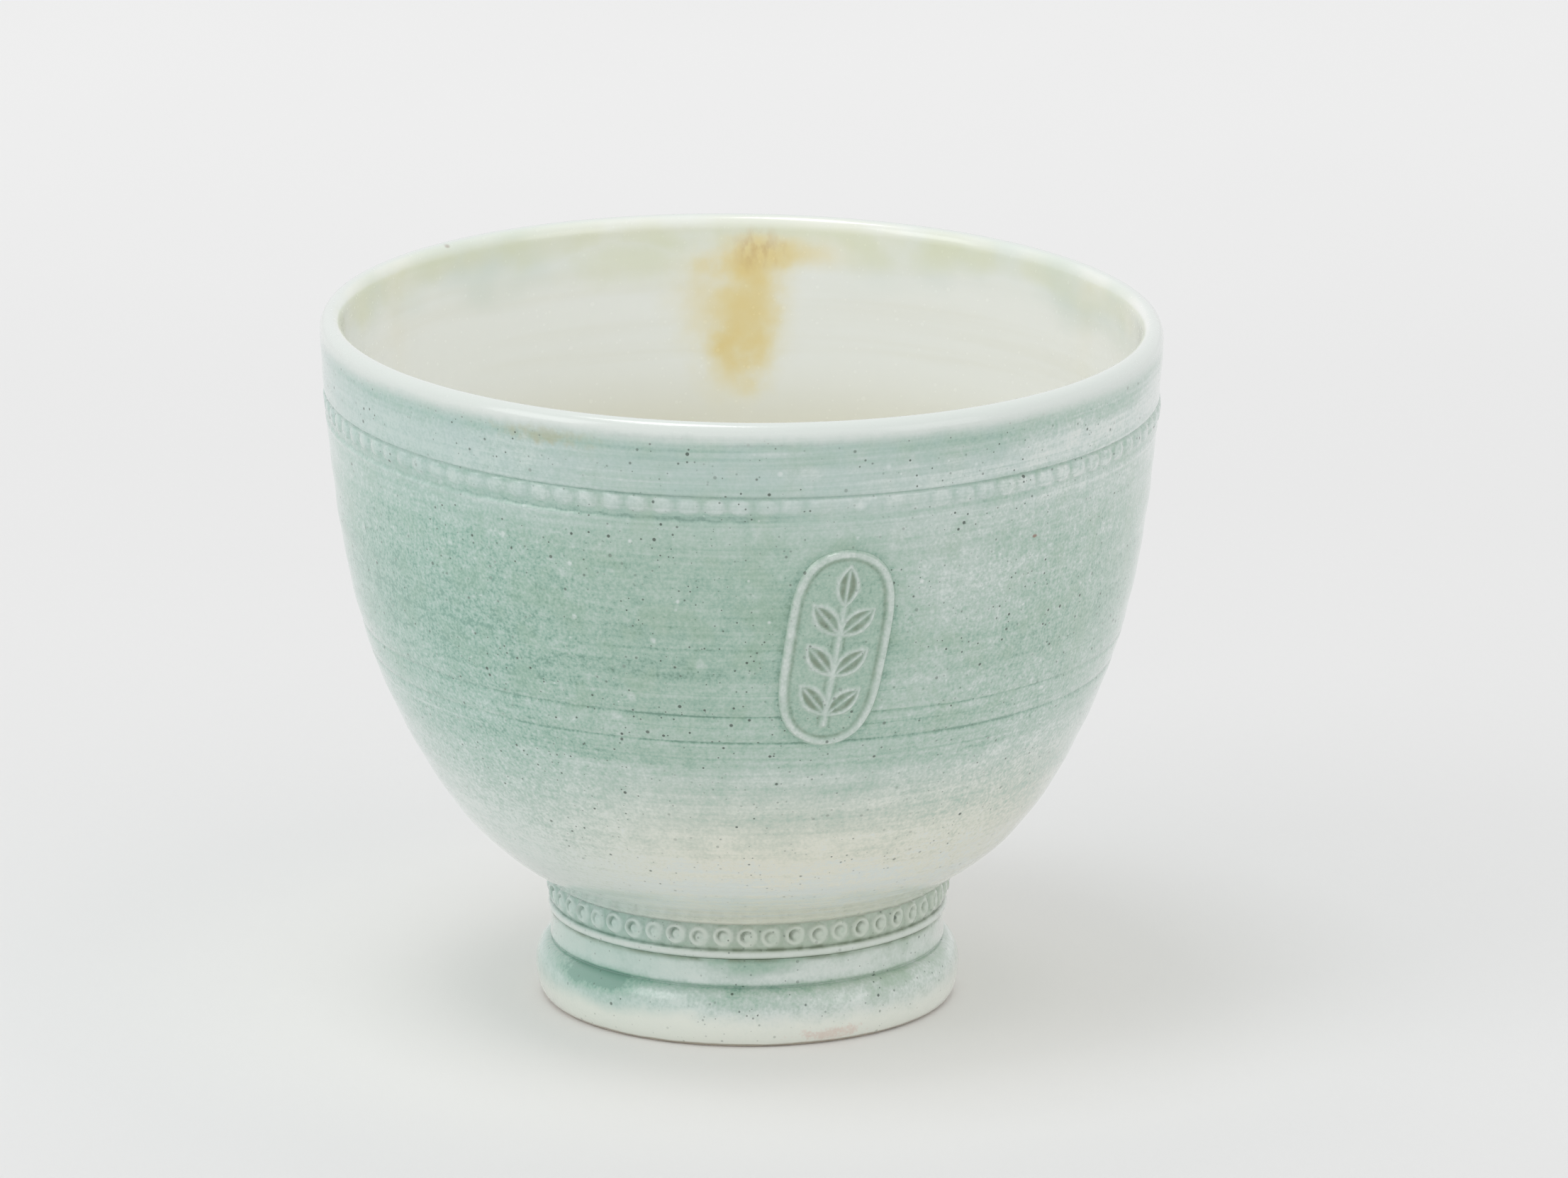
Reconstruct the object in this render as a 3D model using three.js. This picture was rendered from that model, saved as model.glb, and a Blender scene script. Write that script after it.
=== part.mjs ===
// A footed porcelain cup without a handle. It is put together from separately made clay
// pieces: a thrown bowl, a thrown foot ring luted under it with slip, a coil rolled with
// beads round that joint, and a stamped oval seal pressed onto the wall.
// Millimetres, +Z up. The origin is the middle of the plane that the cup stands on, and
// -Y is the front, where the seal is.

import * as THREE from 'three';

// Bowl, with its heights counted from its flat underside
const BOWL_HEIGHT = 68;
const RIM_RADIUS = 50;
const RIM_SLOPE = 86.7;
const LIP_THICKNESS = 2.65;
const LIP_ROUNDING = 1.8;
const BELLY_RADIUS = 41.9;
const BELLY_HEIGHT = 22.3;
const BELLY_SLOPE = 66;
const BELLY_WALL = 3;
const FLOOR_THICKNESS = 4.6;
const SEAT_OVERHANG = 0.6;
const SEAT_SLOPE = 47.5;

// Lines turned into the bowl's wall: the bead band's two borders hang from the rim, and
// the two belly lines stand on the underside
const BAND_TOP_BELOW_RIM = 8.9;
const BAND_HEIGHT = 2.7;
const BELLY_LINE_HEIGHT = 28.1;
const BELLY_LINE_GAP = 3.4;
const LINE_WIDTH = 0.9;
const LINE_DEPTH = 0.25;

// Foot ring, from the resting plane up: a roll that is widest at its waist, a turned line,
// a slightly hollow neck, and a shoulder that the collar stands on
const NECK_RADIUS = 23.5;
const ROLL_PROUD = 1.7;
const REST_UNDERCUT = 1.4;
const REST_WIDTH = 3.3;
const ROLL_WAIST_HEIGHT = 3.9;
const ROLL_TOP_ABOVE_WAIST = 3.1;
const NECK_LINE_DEPTH = 0.25;
const NECK_HOLLOW = 0.12;
const NECK_HEIGHT = 3.6;
const FOOT_WALL = 3;

// Slip that lutes the foot ring to the bowl
const SLIP_THICKNESS = 0.5;
const SLIP_SETBACK = 0.2;

// Beaded collar round the joint, from the foot's shoulder up to the bowl's underside
const COLLAR_HEIGHT = 4.4;
const COLLAR_THICKNESS = 2;
const FILLET_WIDTH = 1.1;
const FILLET_PROUD = 0.25;
const BEAD_COUNT = 52;
const BEAD_PROUD = 0.7;
const BEAD_MARGIN = 0.3;

// Oval seal pressed onto the wall under the bead band, turned to the right of the front
const SEAL_BELOW_BAND = 3.8;
const SEAL_HEIGHT = 25;
const SEAL_WIDTH = 12.6;
const SEAL_THICKNESS = 0.6;
const SEAL_TURN = 13.6;
const SEAL_LEAN = 7;
const SEAL_BORDER = 1.1;
const SEAL_RELIEF = 0.5;
const LEAF_PAIRS = 3;
const LEAF_LENGTH = 5.2;
const LEAF_WIDTH = 2.6;
const LEAF_SLOPE = 45;
const STEM_WIDTH = 0.8;

// Clearance between curved faces that are luted together
const LUTING_GAP = 0.3;

// How finely round forms are divided
const ROUND_STEPS = 64;
const WALL_STEPS = 9;
const LIP_STEPS = 6;
const ROLL_STEPS = 5;
const STEPS_PER_BEAD = 4;
const SEAL_COLUMNS = 16;
const SEAL_ROWS = 30;

const neckLineHeight = ROLL_WAIST_HEIGHT + ROLL_TOP_ABOVE_WAIST;
const shoulderHeight = neckLineHeight + NECK_HEIGHT;
const bowlSeat = shoulderHeight + COLLAR_HEIGHT;
const footHeight = bowlSeat - SLIP_THICKNESS;
const rollRadius = NECK_RADIUS + ROLL_PROUD;
const restRadius = rollRadius - REST_UNDERCUT;
const collarBore = NECK_RADIUS - COLLAR_THICKNESS;
const footCore = collarBore - LUTING_GAP;
const recessRadius = footCore - FOOT_WALL;
const lipStart = BOWL_HEIGHT - LIP_ROUNDING;
const bandTop = BOWL_HEIGHT - BAND_TOP_BELOW_RIM;
const bandBottom = bandTop - BAND_HEIGHT;
const sealMiddle = bandBottom - SEAL_BELOW_BAND - SEAL_HEIGHT / 2;

function glaze(color, roughness) {
  return new THREE.MeshStandardMaterial({ color, roughness, metalness: 0 });
}

function point(radius, height) {
  return new THREE.Vector2(radius, height);
}

function polar(length, degrees) {
  const angle = THREE.MathUtils.degToRad(degrees);
  return point(length * Math.cos(angle), length * Math.sin(angle));
}

// A solid of revolution about Z; its outline runs out along the bottom and up the outside
function turned(name, outline, material, steps = ROUND_STEPS) {
  const geometry = new THREE.LatheGeometry(outline, steps);
  geometry.rotateX(Math.PI / 2);
  const mesh = new THREE.Mesh(geometry, material);
  mesh.name = name;
  return mesh;
}

// A smooth stretch of wall between two points with a slope at each; the two leads say how
// far it follows each slope, as shares of the distance between the points
function wallCurve(start, startSlope, startLead, end, endSlope, endLead) {
  const span = start.distanceTo(end);
  const leaving = start.clone().add(polar(span * startLead, startSlope));
  const arriving = end.clone().sub(polar(span * endLead, endSlope));
  return new THREE.CubicBezierCurve(start, leaving, arriving, end);
}

const belly = point(BELLY_RADIUS, BELLY_HEIGHT);
const bellyInside = belly.clone().add(polar(BELLY_WALL, BELLY_SLOPE + 90));
const seatEdge = point(NECK_RADIUS + SEAT_OVERHANG, 0);
const lipOutside = point(RIM_RADIUS, lipStart);
const lipInside = point(RIM_RADIUS - LIP_THICKNESS, lipStart);

const outsideCurves = [
  wallCurve(seatEdge, SEAT_SLOPE, 0.166, belly, BELLY_SLOPE, 0.722),
  wallCurve(belly, BELLY_SLOPE, 0.222, lipOutside, RIM_SLOPE, 0.545),
];
const insideCurves = [
  wallCurve(point(0, FLOOR_THICKNESS), 0, 0.55, bellyInside, BELLY_SLOPE, 0.44),
  wallCurve(bellyInside, BELLY_SLOPE, 0.222, lipInside, RIM_SLOPE, 0.545),
];

// Radius of the bowl's outside at a height, found by halving along the rising curve
function wallRadius(height) {
  const curve = height < BELLY_HEIGHT ? outsideCurves[0] : outsideCurves[1];
  let low = 0;
  let high = 1;
  for (let step = 0; step < 40; step += 1) {
    const middle = (low + high) / 2;
    if (curve.getPoint(middle).y < height) {
      low = middle;
    } else {
      high = middle;
    }
  }
  return curve.getPoint(low).x;
}

const turnedLines = [
  BELLY_LINE_HEIGHT,
  BELLY_LINE_HEIGHT + BELLY_LINE_GAP,
  bandBottom,
  bandTop,
];

function outsideOutline() {
  const clearOfLines = (height) => turnedLines.every((line) => Math.abs(height - line) > LINE_WIDTH);
  const heights = outsideCurves
    .flatMap((curve) => curve.getPoints(WALL_STEPS).slice(1))
    .map((spot) => spot.y)
    .filter(clearOfLines);
  const edges = turnedLines.flatMap((line) => [line - LINE_WIDTH / 2, line + LINE_WIDTH / 2]);
  const smooth = [...heights, ...edges].map((height) => point(wallRadius(height), height));
  const cut = turnedLines.map((line) => point(wallRadius(line) - LINE_DEPTH, line));
  return [seatEdge, ...smooth, ...cut].sort((a, b) => a.y - b.y);
}

function roundedLip() {
  const lip = new THREE.EllipseCurve(
    RIM_RADIUS - LIP_THICKNESS / 2,
    lipStart,
    LIP_THICKNESS / 2,
    LIP_ROUNDING,
    0,
    Math.PI,
  );
  return lip.getPoints(LIP_STEPS).slice(1, -1);
}

function insideOutline() {
  const lower = insideCurves[0].getPoints(WALL_STEPS);
  const upper = insideCurves[1].getPoints(WALL_STEPS).slice(1);
  return [...lower, ...upper].reverse();
}

function makeBowl() {
  const outline = [point(0, 0), ...outsideOutline(), ...roundedLip(), ...insideOutline()];
  const bowl = turned('bowl', outline, glaze(0xb9ccc2, 0.25));
  bowl.position.z = bowlSeat;
  return bowl;
}

function makeFootRing() {
  const lineRadius = NECK_RADIUS - NECK_LINE_DEPTH;
  const underRoll = new THREE.EllipseCurve(
    restRadius,
    ROLL_WAIST_HEIGHT,
    REST_UNDERCUT,
    ROLL_WAIST_HEIGHT,
    -Math.PI / 2,
    0,
  );
  const overRoll = new THREE.EllipseCurve(
    lineRadius,
    ROLL_WAIST_HEIGHT,
    rollRadius - lineRadius,
    ROLL_TOP_ABOVE_WAIST,
    0,
    Math.PI / 2,
  );
  const outline = [
    point(restRadius - REST_WIDTH, 0),
    ...underRoll.getPoints(ROLL_STEPS),
    ...overRoll.getPoints(ROLL_STEPS).slice(1),
    point(NECK_RADIUS, neckLineHeight + LINE_WIDTH / 2),
    point(NECK_RADIUS - NECK_HOLLOW, neckLineHeight + NECK_HEIGHT / 2),
    point(NECK_RADIUS, shoulderHeight),
    point(footCore, shoulderHeight),
    point(footCore, footHeight),
    point(recessRadius, footHeight),
    point(restRadius - REST_WIDTH, 0),
  ];
  return turned('foot_ring', outline, glaze(0xc4d3cb, 0.25));
}

function makeLutingSlip() {
  const inner = recessRadius + SLIP_SETBACK;
  const outer = footCore - SLIP_SETBACK;
  const outline = [
    point(inner, 0),
    point(outer, 0),
    point(outer, SLIP_THICKNESS),
    point(inner, SLIP_THICKNESS),
    point(inner, 0),
  ];
  const slip = turned('luting_slip', outline, glaze(0xdcdcd4, 0.6));
  slip.position.z = footHeight;
  return slip;
}

// The collar is turned with finely divided sides, and its bead row is then pushed out
function makeCollar() {
  const beadLow = FILLET_WIDTH + BEAD_MARGIN;
  const beadHigh = COLLAR_HEIGHT - BEAD_MARGIN;
  const beadMiddle = (beadLow + beadHigh) / 2;
  const beadHalf = (beadHigh - beadLow) / 2;
  const outline = [
    point(collarBore, 0),
    point(NECK_RADIUS, 0),
    point(NECK_RADIUS + FILLET_PROUD, FILLET_WIDTH / 3),
    point(NECK_RADIUS + FILLET_PROUD, FILLET_WIDTH * 2 / 3),
    point(NECK_RADIUS, FILLET_WIDTH),
    point(NECK_RADIUS, beadLow),
    point(NECK_RADIUS, beadMiddle - beadHalf / 2),
    point(NECK_RADIUS, beadMiddle + beadHalf / 2),
    point(NECK_RADIUS, beadHigh),
    point(NECK_RADIUS, COLLAR_HEIGHT),
    point(collarBore, COLLAR_HEIGHT),
    point(collarBore, 0),
  ];
  const collar = turned('beaded_collar', outline, glaze(0xb4c9b8, 0.3), BEAD_COUNT * STEPS_PER_BEAD);
  const places = collar.geometry.attributes.position;
  for (let index = 0; index < places.count; index += 1) {
    const x = places.getX(index);
    const y = places.getY(index);
    const up = (places.getZ(index) - beadMiddle) / beadHalf;
    const radius = Math.hypot(x, y);
    if (radius > NECK_RADIUS - LUTING_GAP && Math.abs(up) < 1) {
      const along = (1 + Math.cos(Math.atan2(y, x) * BEAD_COUNT)) / 2;
      const swell = 1 + BEAD_PROUD * along * Math.sqrt(1 - up * up) / radius;
      places.setXY(index, x * swell, y * swell);
    }
  }
  collar.position.z = shoulderHeight;
  return collar;
}

// How far a place on the seal stands up as part of a leaf: 1 on its midrib, 0 off the leaf
function leafSwell(across, up, rootHeight, slope) {
  const turn = THREE.MathUtils.degToRad(-slope);
  const place = point(across, up - rootHeight).rotateAround(point(0, 0), turn);
  const along = (place.x - LEAF_LENGTH / 2) / (LEAF_LENGTH / 2);
  const aside = place.y / (LEAF_WIDTH / 2);
  return Math.sqrt(Math.max(0, 1 - along * along - aside * aside));
}

// Height of the seal's face over its ground: a raised border round a sprig with a stem,
// pairs of leaves and one leaf at its tip
function sealRelief(across, up, halfWidth) {
  const fromEdge = Math.min(halfWidth - Math.abs(across), SEAL_HEIGHT / 2 - Math.abs(up));
  const stemFoot = 2 * SEAL_BORDER - SEAL_HEIGHT / 2;
  const stemTip = SEAL_HEIGHT / 2 - SEAL_BORDER - LEAF_LENGTH;
  const spacing = (stemTip - stemFoot) / LEAF_PAIRS;
  const onStem = Math.abs(across) < STEM_WIDTH / 2 && up > stemFoot && up < stemTip;
  if (fromEdge < SEAL_BORDER || onStem) {
    return SEAL_RELIEF;
  }
  let swell = leafSwell(across, up, stemTip, 90);
  for (let pair = 0; pair < LEAF_PAIRS; pair += 1) {
    const root = stemFoot + spacing * (pair + 0.3);
    swell = Math.max(swell, leafSwell(Math.abs(across), up, root, LEAF_SLOPE));
  }
  return SEAL_RELIEF * swell;
}

// The seal is a patch of wall: its back follows the bowl at the luting gap, and its face
// carries the relief
function makeSeal() {
  const lean = THREE.MathUtils.degToRad(SEAL_LEAN);
  const turn = THREE.MathUtils.degToRad(SEAL_TURN - 90);
  const spots = [];
  const faces = [];
  for (const front of [false, true]) {
    for (let row = 0; row <= SEAL_ROWS; row += 1) {
      const rise = -0.995 * Math.cos(Math.PI * row / SEAL_ROWS);
      const halfWidth = SEAL_WIDTH / 2 * Math.sqrt(1 - rise ** 4);
      for (let column = 0; column <= SEAL_COLUMNS; column += 1) {
        const across = halfWidth * (2 * column / SEAL_COLUMNS - 1);
        const up = SEAL_HEIGHT / 2 * rise;
        const height = sealMiddle + up * Math.cos(lean) - across * Math.sin(lean);
        const aside = across * Math.cos(lean) + up * Math.sin(lean);
        const face = front ? SEAL_THICKNESS + sealRelief(across, up, halfWidth) : 0;
        const radius = wallRadius(height) + LUTING_GAP + face;
        const angle = turn + aside / wallRadius(sealMiddle);
        spots.push(radius * Math.cos(angle), radius * Math.sin(angle), height);
      }
    }
  }
  const perRow = SEAL_COLUMNS + 1;
  const perSide = perRow * (SEAL_ROWS + 1);
  const quad = (a, b, c, d) => faces.push(a, b, c, a, c, d);
  for (let row = 0; row < SEAL_ROWS; row += 1) {
    for (let column = 0; column < SEAL_COLUMNS; column += 1) {
      const back = row * perRow + column;
      const front = back + perSide;
      quad(back, back + perRow, back + perRow + 1, back + 1);
      quad(front, front + 1, front + perRow + 1, front + perRow);
    }
    const left = row * perRow;
    const right = left + SEAL_COLUMNS;
    quad(left, left + perSide, left + perSide + perRow, left + perRow);
    quad(right, right + perRow, right + perSide + perRow, right + perSide);
  }
  for (let column = 0; column < SEAL_COLUMNS; column += 1) {
    const low = column;
    const high = SEAL_ROWS * perRow + column;
    quad(low, low + 1, low + perSide + 1, low + perSide);
    quad(high, high + perSide, high + perSide + 1, high + 1);
  }
  const geometry = new THREE.BufferGeometry();
  geometry.setAttribute('position', new THREE.Float32BufferAttribute(spots, 3));
  geometry.setIndex(faces);
  geometry.computeVertexNormals();
  const seal = new THREE.Mesh(geometry, glaze(0xcfdbd2, 0.3));
  seal.name = 'oval_seal';
  seal.position.z = bowlSeat;
  return seal;
}

const foot = new THREE.Group();
foot.add(makeFootRing(), makeLutingSlip(), makeCollar());

const vessel = new THREE.Group();
vessel.add(makeBowl(), makeSeal());

const cup = new THREE.Group();
cup.add(foot, vessel);

export default cup;
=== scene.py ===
"""Models and glazes a footed porcelain cup round its packed CAD frame.

The bowl, the foot ring, the slip between them, the beaded collar and the pressed seal are
each turned or pressed as a piece of their own, then glazed with a celadon whose colour
follows how thickly it lies. Lengths are in metres and +Z is up; the front of the cup, where
the seal is, looks along -Y.
"""

import math

import bpy
import numpy as np
from bpy.props import FloatProperty, FloatVectorProperty, IntProperty, PointerProperty
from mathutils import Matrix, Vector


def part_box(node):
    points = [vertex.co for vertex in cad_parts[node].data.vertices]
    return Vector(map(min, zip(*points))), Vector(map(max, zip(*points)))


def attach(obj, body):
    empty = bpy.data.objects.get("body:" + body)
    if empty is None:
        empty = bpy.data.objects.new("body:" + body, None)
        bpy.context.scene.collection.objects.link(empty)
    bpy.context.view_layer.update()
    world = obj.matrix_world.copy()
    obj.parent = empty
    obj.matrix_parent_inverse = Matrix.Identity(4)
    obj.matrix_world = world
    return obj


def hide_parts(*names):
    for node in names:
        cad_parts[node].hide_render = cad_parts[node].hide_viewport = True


bl_info = {
    "name": "Footed Porcelain Cup",
    "version": (1, 0, 0),
    "blender": (4, 5, 0),
    "location": "View3D > Sidebar > Cup",
    "description": "Models and glazes a footed porcelain cup round its packed CAD frame",
    "category": "Object",
}

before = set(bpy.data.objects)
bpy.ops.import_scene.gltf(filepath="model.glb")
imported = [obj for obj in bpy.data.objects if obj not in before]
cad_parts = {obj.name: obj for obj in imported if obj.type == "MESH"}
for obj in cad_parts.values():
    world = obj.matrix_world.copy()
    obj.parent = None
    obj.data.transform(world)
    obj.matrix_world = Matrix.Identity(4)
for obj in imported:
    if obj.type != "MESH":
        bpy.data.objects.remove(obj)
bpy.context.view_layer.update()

MM = 0.001
BODY = "root"

# What the frame gives: heights where the pieces meet, and the rim's and the foot's radius
BOWL_LOW, BOWL_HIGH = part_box("bowl")
_, FOOT_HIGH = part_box("foot_ring")
COLLAR_LOW, COLLAR_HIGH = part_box("beaded_collar")
SLIP_LOW, SLIP_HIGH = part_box("luting_slip")
SEAL_LOW, SEAL_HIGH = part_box("oval_seal")

# How finely the pieces are divided
BOWL_COLUMNS = 408
BOWL_SPACING = 0.9 * MM
INSIDE_SPACING = 2 * MM
UNDERSIDE_SPACING = 1.6 * MM
BAND_SPACING = 0.155 * MM
COLUMNS_PER_BEAD = 16
FOOT_COLUMNS = 288
SLIP_COLUMNS = 192
SEAL_COLUMNS = 90
SEAL_ROWS = 180

# Vertices nearer together than this are one vertex
WELD = 1e-6

# How far a curved stretch keeps to the slopes of its first and its last end, as a share of it
SEAT_LEADS = (0.166, 0.722)
FLOOR_LEADS = (0.55, 0.44)
RIM_LEADS = (0.222, 0.545)
RECESS_LEADS = (0.3, 0.3)

# Half sizes of one of the band's beads, and its middle's depth under the band's upper line
BEAD_HALF_WIDTH = 1.3 * MM
BEAD_HALF_HEIGHT = 1.05 * MM
BEAD_DEPTH = 1.15 * MM

# The seal's rounded edge, how far it sinks into the wall, and the gaps at its stem's two ends
SEAL_ROUNDING = 0.45 * MM
SEAL_SINKING = 0.12 * MM
STEM_FOOT_GAP = 2.6 * MM
STEM_TIP_GAP = 1.9 * MM


def length(name, description, default):
    """A length in metres, shown in the sidebar with its unit."""
    return FloatProperty(
        name=name, description=description, default=default, unit="LENGTH", precision=5
    )


def angle(name, description, degrees):
    """An angle, given here in degrees."""
    return FloatProperty(
        name=name, description=description, default=math.radians(degrees), subtype="ANGLE"
    )


def linear(level):
    """A screen level from 0 to 255 as the linear value that shows as it."""
    share = level / 255
    if share <= 0.04045:
        return share / 12.92
    return ((share + 0.055) / 1.055) ** 2.4


def colour(name, description, *levels):
    """A colour, given here as its three screen levels from 0 to 255."""
    return FloatVectorProperty(
        name=name,
        description=description,
        subtype="COLOR",
        size=4,
        min=0,
        max=1,
        default=(*map(linear, levels), 1),
    )


class BowlSizes(bpy.types.PropertyGroup):
    """Sizes of the thrown bowl."""

    rim_radius: length("Rim radius", "Outside radius at the rim", BOWL_HIGH.x)
    lip_thickness: length("Lip thickness", "Wall thickness just under the lip", 2.65 * MM)
    lip_rounding: length("Lip rounding", "Height of the rounded part of the lip", 1.8 * MM)
    rim_slope: angle("Rim slope", "How steeply the wall rises at the rim", 86.7)
    belly_radius: length("Belly radius", "Outside radius where the wall turns up", 41.92 * MM)
    belly_height: length("Belly height", "Height of that turn over the bowl's underside", 22.33 * MM)
    belly_slope: angle("Belly slope", "How steeply the wall rises at the belly", 66)
    belly_wall: length("Belly wall", "Wall thickness at the belly", 3 * MM)
    floor_thickness: length("Floor thickness", "Thickness in the middle of the floor", 4.6 * MM)
    seat_radius: length("Seat radius", "Outside radius of the bowl's underside", 24.1 * MM)
    seat_slope: angle("Seat slope", "How steeply the wall leaves the underside", 47.5)
    band_top: length("Band top", "Depth of the bead band's upper line under the rim", 8.9 * MM)
    band_height: length("Band height", "Distance between the bead band's two lines", 2.7 * MM)
    bead_count: IntProperty(name="Beads", description="Beads round the band", default=102)
    bead_relief: length("Bead relief", "How far the band's beads stand out", 0.3 * MM)
    belly_line: length("Belly line", "Height of the lower belly line over the underside", 28.1 * MM)
    belly_line_gap: length("Belly line gap", "Distance between the belly lines", 3.4 * MM)
    line_depth: length("Line depth", "Depth of the turned lines", 0.25 * MM)

    @property
    def lip_height(self):
        """Height where the wall ends and the lip's rounding begins."""
        return BOWL_HIGH.z - self.lip_rounding

    @property
    def band_lines(self):
        """Heights of the bead band's lower and upper line."""
        upper = BOWL_HIGH.z - self.band_top
        return upper - self.band_height, upper

    @property
    def belly_lines(self):
        """Heights of the lower and the upper belly line."""
        lower = BOWL_LOW.z + self.belly_line
        return lower, lower + self.belly_line_gap


class FootSizes(bpy.types.PropertyGroup):
    """Sizes of the foot ring and of the slip over it."""

    neck_radius: length("Neck radius", "Outside radius of the neck", 23.5 * MM)
    roll_radius: length("Roll radius", "Outside radius of the roll at its waist", FOOT_HIGH.x)
    rest_undercut: length("Rest undercut", "How far the rest is drawn in under the roll", 1.4 * MM)
    rest_width: length("Rest width", "Width of the bare ring that the cup stands on", 3.3 * MM)
    waist_height: length("Waist height", "Height of the roll's widest place", 3.9 * MM)
    roll_top: length("Roll top", "Height of the turned line over the roll", 7 * MM)
    line_depth: length("Line depth", "Depth of that line", 0.3 * MM)
    neck_hollow: length("Neck hollow", "How far the neck is drawn in", 0.14 * MM)
    core_radius: length("Core radius", "Outside radius inside the collar", 21.2 * MM)
    recess_radius: length("Recess radius", "Radius of the recess at its top", 18.2 * MM)

    @property
    def rest_radius(self):
        """Outside radius of the ring that the cup stands on."""
        return self.roll_radius - self.rest_undercut


class CollarSizes(bpy.types.PropertyGroup):
    """Sizes of the beaded collar."""

    thickness: length("Thickness", "Thickness of the collar behind its beads", 2 * MM)
    fillet_width: length("Fillet width", "Height of the smooth fillet under the beads", 1.1 * MM)
    fillet_relief: length("Fillet relief", "How far the fillet stands out", 0.3 * MM)
    bead_count: IntProperty(name="Beads", description="Beads round the collar", default=52)
    bead_radius: length("Bead radius", "Radius of one bead's raised ring", 1 * MM)
    bead_relief: length("Bead relief", "How far the ring stands out", 0.5 * MM)


class SealSizes(bpy.types.PropertyGroup):
    """Sizes of the pressed seal."""

    height: length("Height", "Height of the oval", 25 * MM)
    width: length("Width", "Width of the oval", 12.6 * MM)
    turn: angle("Turn", "How far it sits to the right of the front", 13.6)
    lean: angle("Lean", "How far it leans to the right", 7)
    pad: length("Pad", "How far its ground stands out from the wall", 0.12 * MM)
    relief: length("Relief", "How far its lines stand out from that ground", 0.34 * MM)
    leaf_length: length("Leaf length", "Length of a leaf on its sprig", 5.2 * MM)
    leaf_width: length("Leaf width", "Width of such a leaf", 2.6 * MM)
    leaf_pairs: IntProperty(name="Leaf pairs", description="Pairs of leaves on the stem", default=3)


class HandSizes(bpy.types.PropertyGroup):
    """How far the cup strays from true round, as a hand-thrown one does."""

    rim_dip: angle("Rim dip", "How far the rim dips to the right", 0.75)
    foot_shift: length("Foot shift", "How far the foot sits to the right of the rim", 0.67 * MM)
    warp_low: length("Warp start", "Height where the wall starts to stray", 15 * MM)
    warp_high: length("Warp end", "Height where it has strayed fully", 42 * MM)


class GlazeColours(bpy.types.PropertyGroup):
    """Colours of the celadon by how thickly it lies, and of what marks it."""

    bare: colour("Bare", "Where the glaze has drawn off an edge", 221, 228, 223)
    thin: colour("Thin", "A thin coat over the white body", 214, 224, 219)
    thin_warm: colour("Thin warm", "A thin coat low on the bowl", 230, 230, 215)
    light: colour("Light", "A light coat", 190, 206, 198)
    light_warm: colour("Light warm", "A light coat low on the bowl", 204, 211, 196)
    full: colour("Full", "A full coat", 167, 193, 178)
    thick: colour("Thick", "A thick coat", 147, 180, 163)
    pooled: colour("Pooled", "Glaze pooled in a line", 110, 148, 130)
    teal: colour("Teal", "The bluer green of the left side", 149, 197, 183)
    grey: colour("Grey", "The greyer green of the right side", 176, 200, 186)
    moss: colour("Moss", "The leafier green patches of the wall", 152, 181, 156)
    blue: colour("Blue", "The bluer white of the shoulder", 188, 208, 206)
    sage: colour("Sage", "The yellower green round the foot's joint", 188, 202, 178)
    # Olive also serves as painted shadow under the collar's fillet
    olive_pool_and_shadow: colour("Olive", "Glaze lying deep in the seal's and the joint's lines", 108, 124, 98)
    inside: colour("Inside", "The clear glaze inside the bowl", 247, 249, 246)
    inside_green: colour("Inside green", "Its yellow green tint under the rim", 226, 230, 196)
    inside_blue: colour("Inside blue", "Its bluer tint there", 212, 226, 218)
    # The darker throwing lines inside and the painted shade deeper in the bowl share this colour
    inside_lines_and_painted_shade: colour("Inside shade", "Its darker throwing lines and depth", 229, 227, 209)
    stain: colour("Stain", "The ochre run inside the bowl", 238, 216, 150)
    stain_edge: colour("Stain edge", "The pale yellow round that run", 243, 235, 196)
    stain_streak: colour("Stain streaks", "The brown at the top of the run", 200, 160, 108)
    iron: colour("Iron", "Iron specks in the body", 62, 80, 68)
    rust: colour("Rust", "The rust speck on the wall and the chip in the rim", 128, 76, 48)
    smudge: colour("Smudge", "The olive smudge under the lip", 176, 176, 138)
    foot: colour("Foot", "The creamy glaze of the roll", 240, 243, 233)
    flash: colour("Flash", "The pink flash near the rest", 222, 200, 188)
    clay: colour("Clay", "The bare fired body", 226, 219, 206)
    toasted: colour("Toasted", "The browner line where the glaze ends at the rest", 150, 136, 112)


class StageSizes(bpy.types.PropertyGroup):
    """The floor, the light and the camera."""

    floor_size: length("Floor size", "Side of the square floor", 8)
    floor_colour: colour("Floor colour", "Colour of the floor", 233, 233, 233)
    shown_colour: colour("Backdrop colour", "Colour that shows round the floor", 238, 238, 238)
    sky: FloatProperty(name="Sky", description="Strength of the light all round", default=0.84)
    camera_distance: length("Camera distance", "How far the camera stands in front", 2)
    camera_height: length("Camera height", "How high the camera stands", 0.6075)
    camera_side: length("Camera side", "How far it stands to the right", 5 * MM)
    camera_tilt: angle("Camera tilt", "How far it looks down", 15.59)
    lens: FloatProperty(name="Lens", description="Focal length", default=401.4, unit="CAMERA")


SIZE_GROUPS = {
    "cup_bowl": BowlSizes,
    "cup_foot": FootSizes,
    "cup_collar": CollarSizes,
    "cup_seal": SealSizes,
    "cup_hand": HandSizes,
    "cup_glaze": GlazeColours,
    "cup_stage": StageSizes,
}


def smooth(value, low, high):
    """0 below low, 1 above high and an even rise between, for numbers or arrays."""
    share = np.clip((value - low) / (high - low), 0, 1)
    return share * share * (3 - 2 * share)


def ridge(value, middle, width):
    """1 at the middle, falling off to both sides like a rounded ridge."""
    return np.exp(-(((value - middle) / width) ** 2))


def points(radii, heights):
    """Points of an outline from their radii and heights, where one number may stand for all."""
    return np.stack(np.broadcast_arrays(radii, heights), axis=1)


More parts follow.
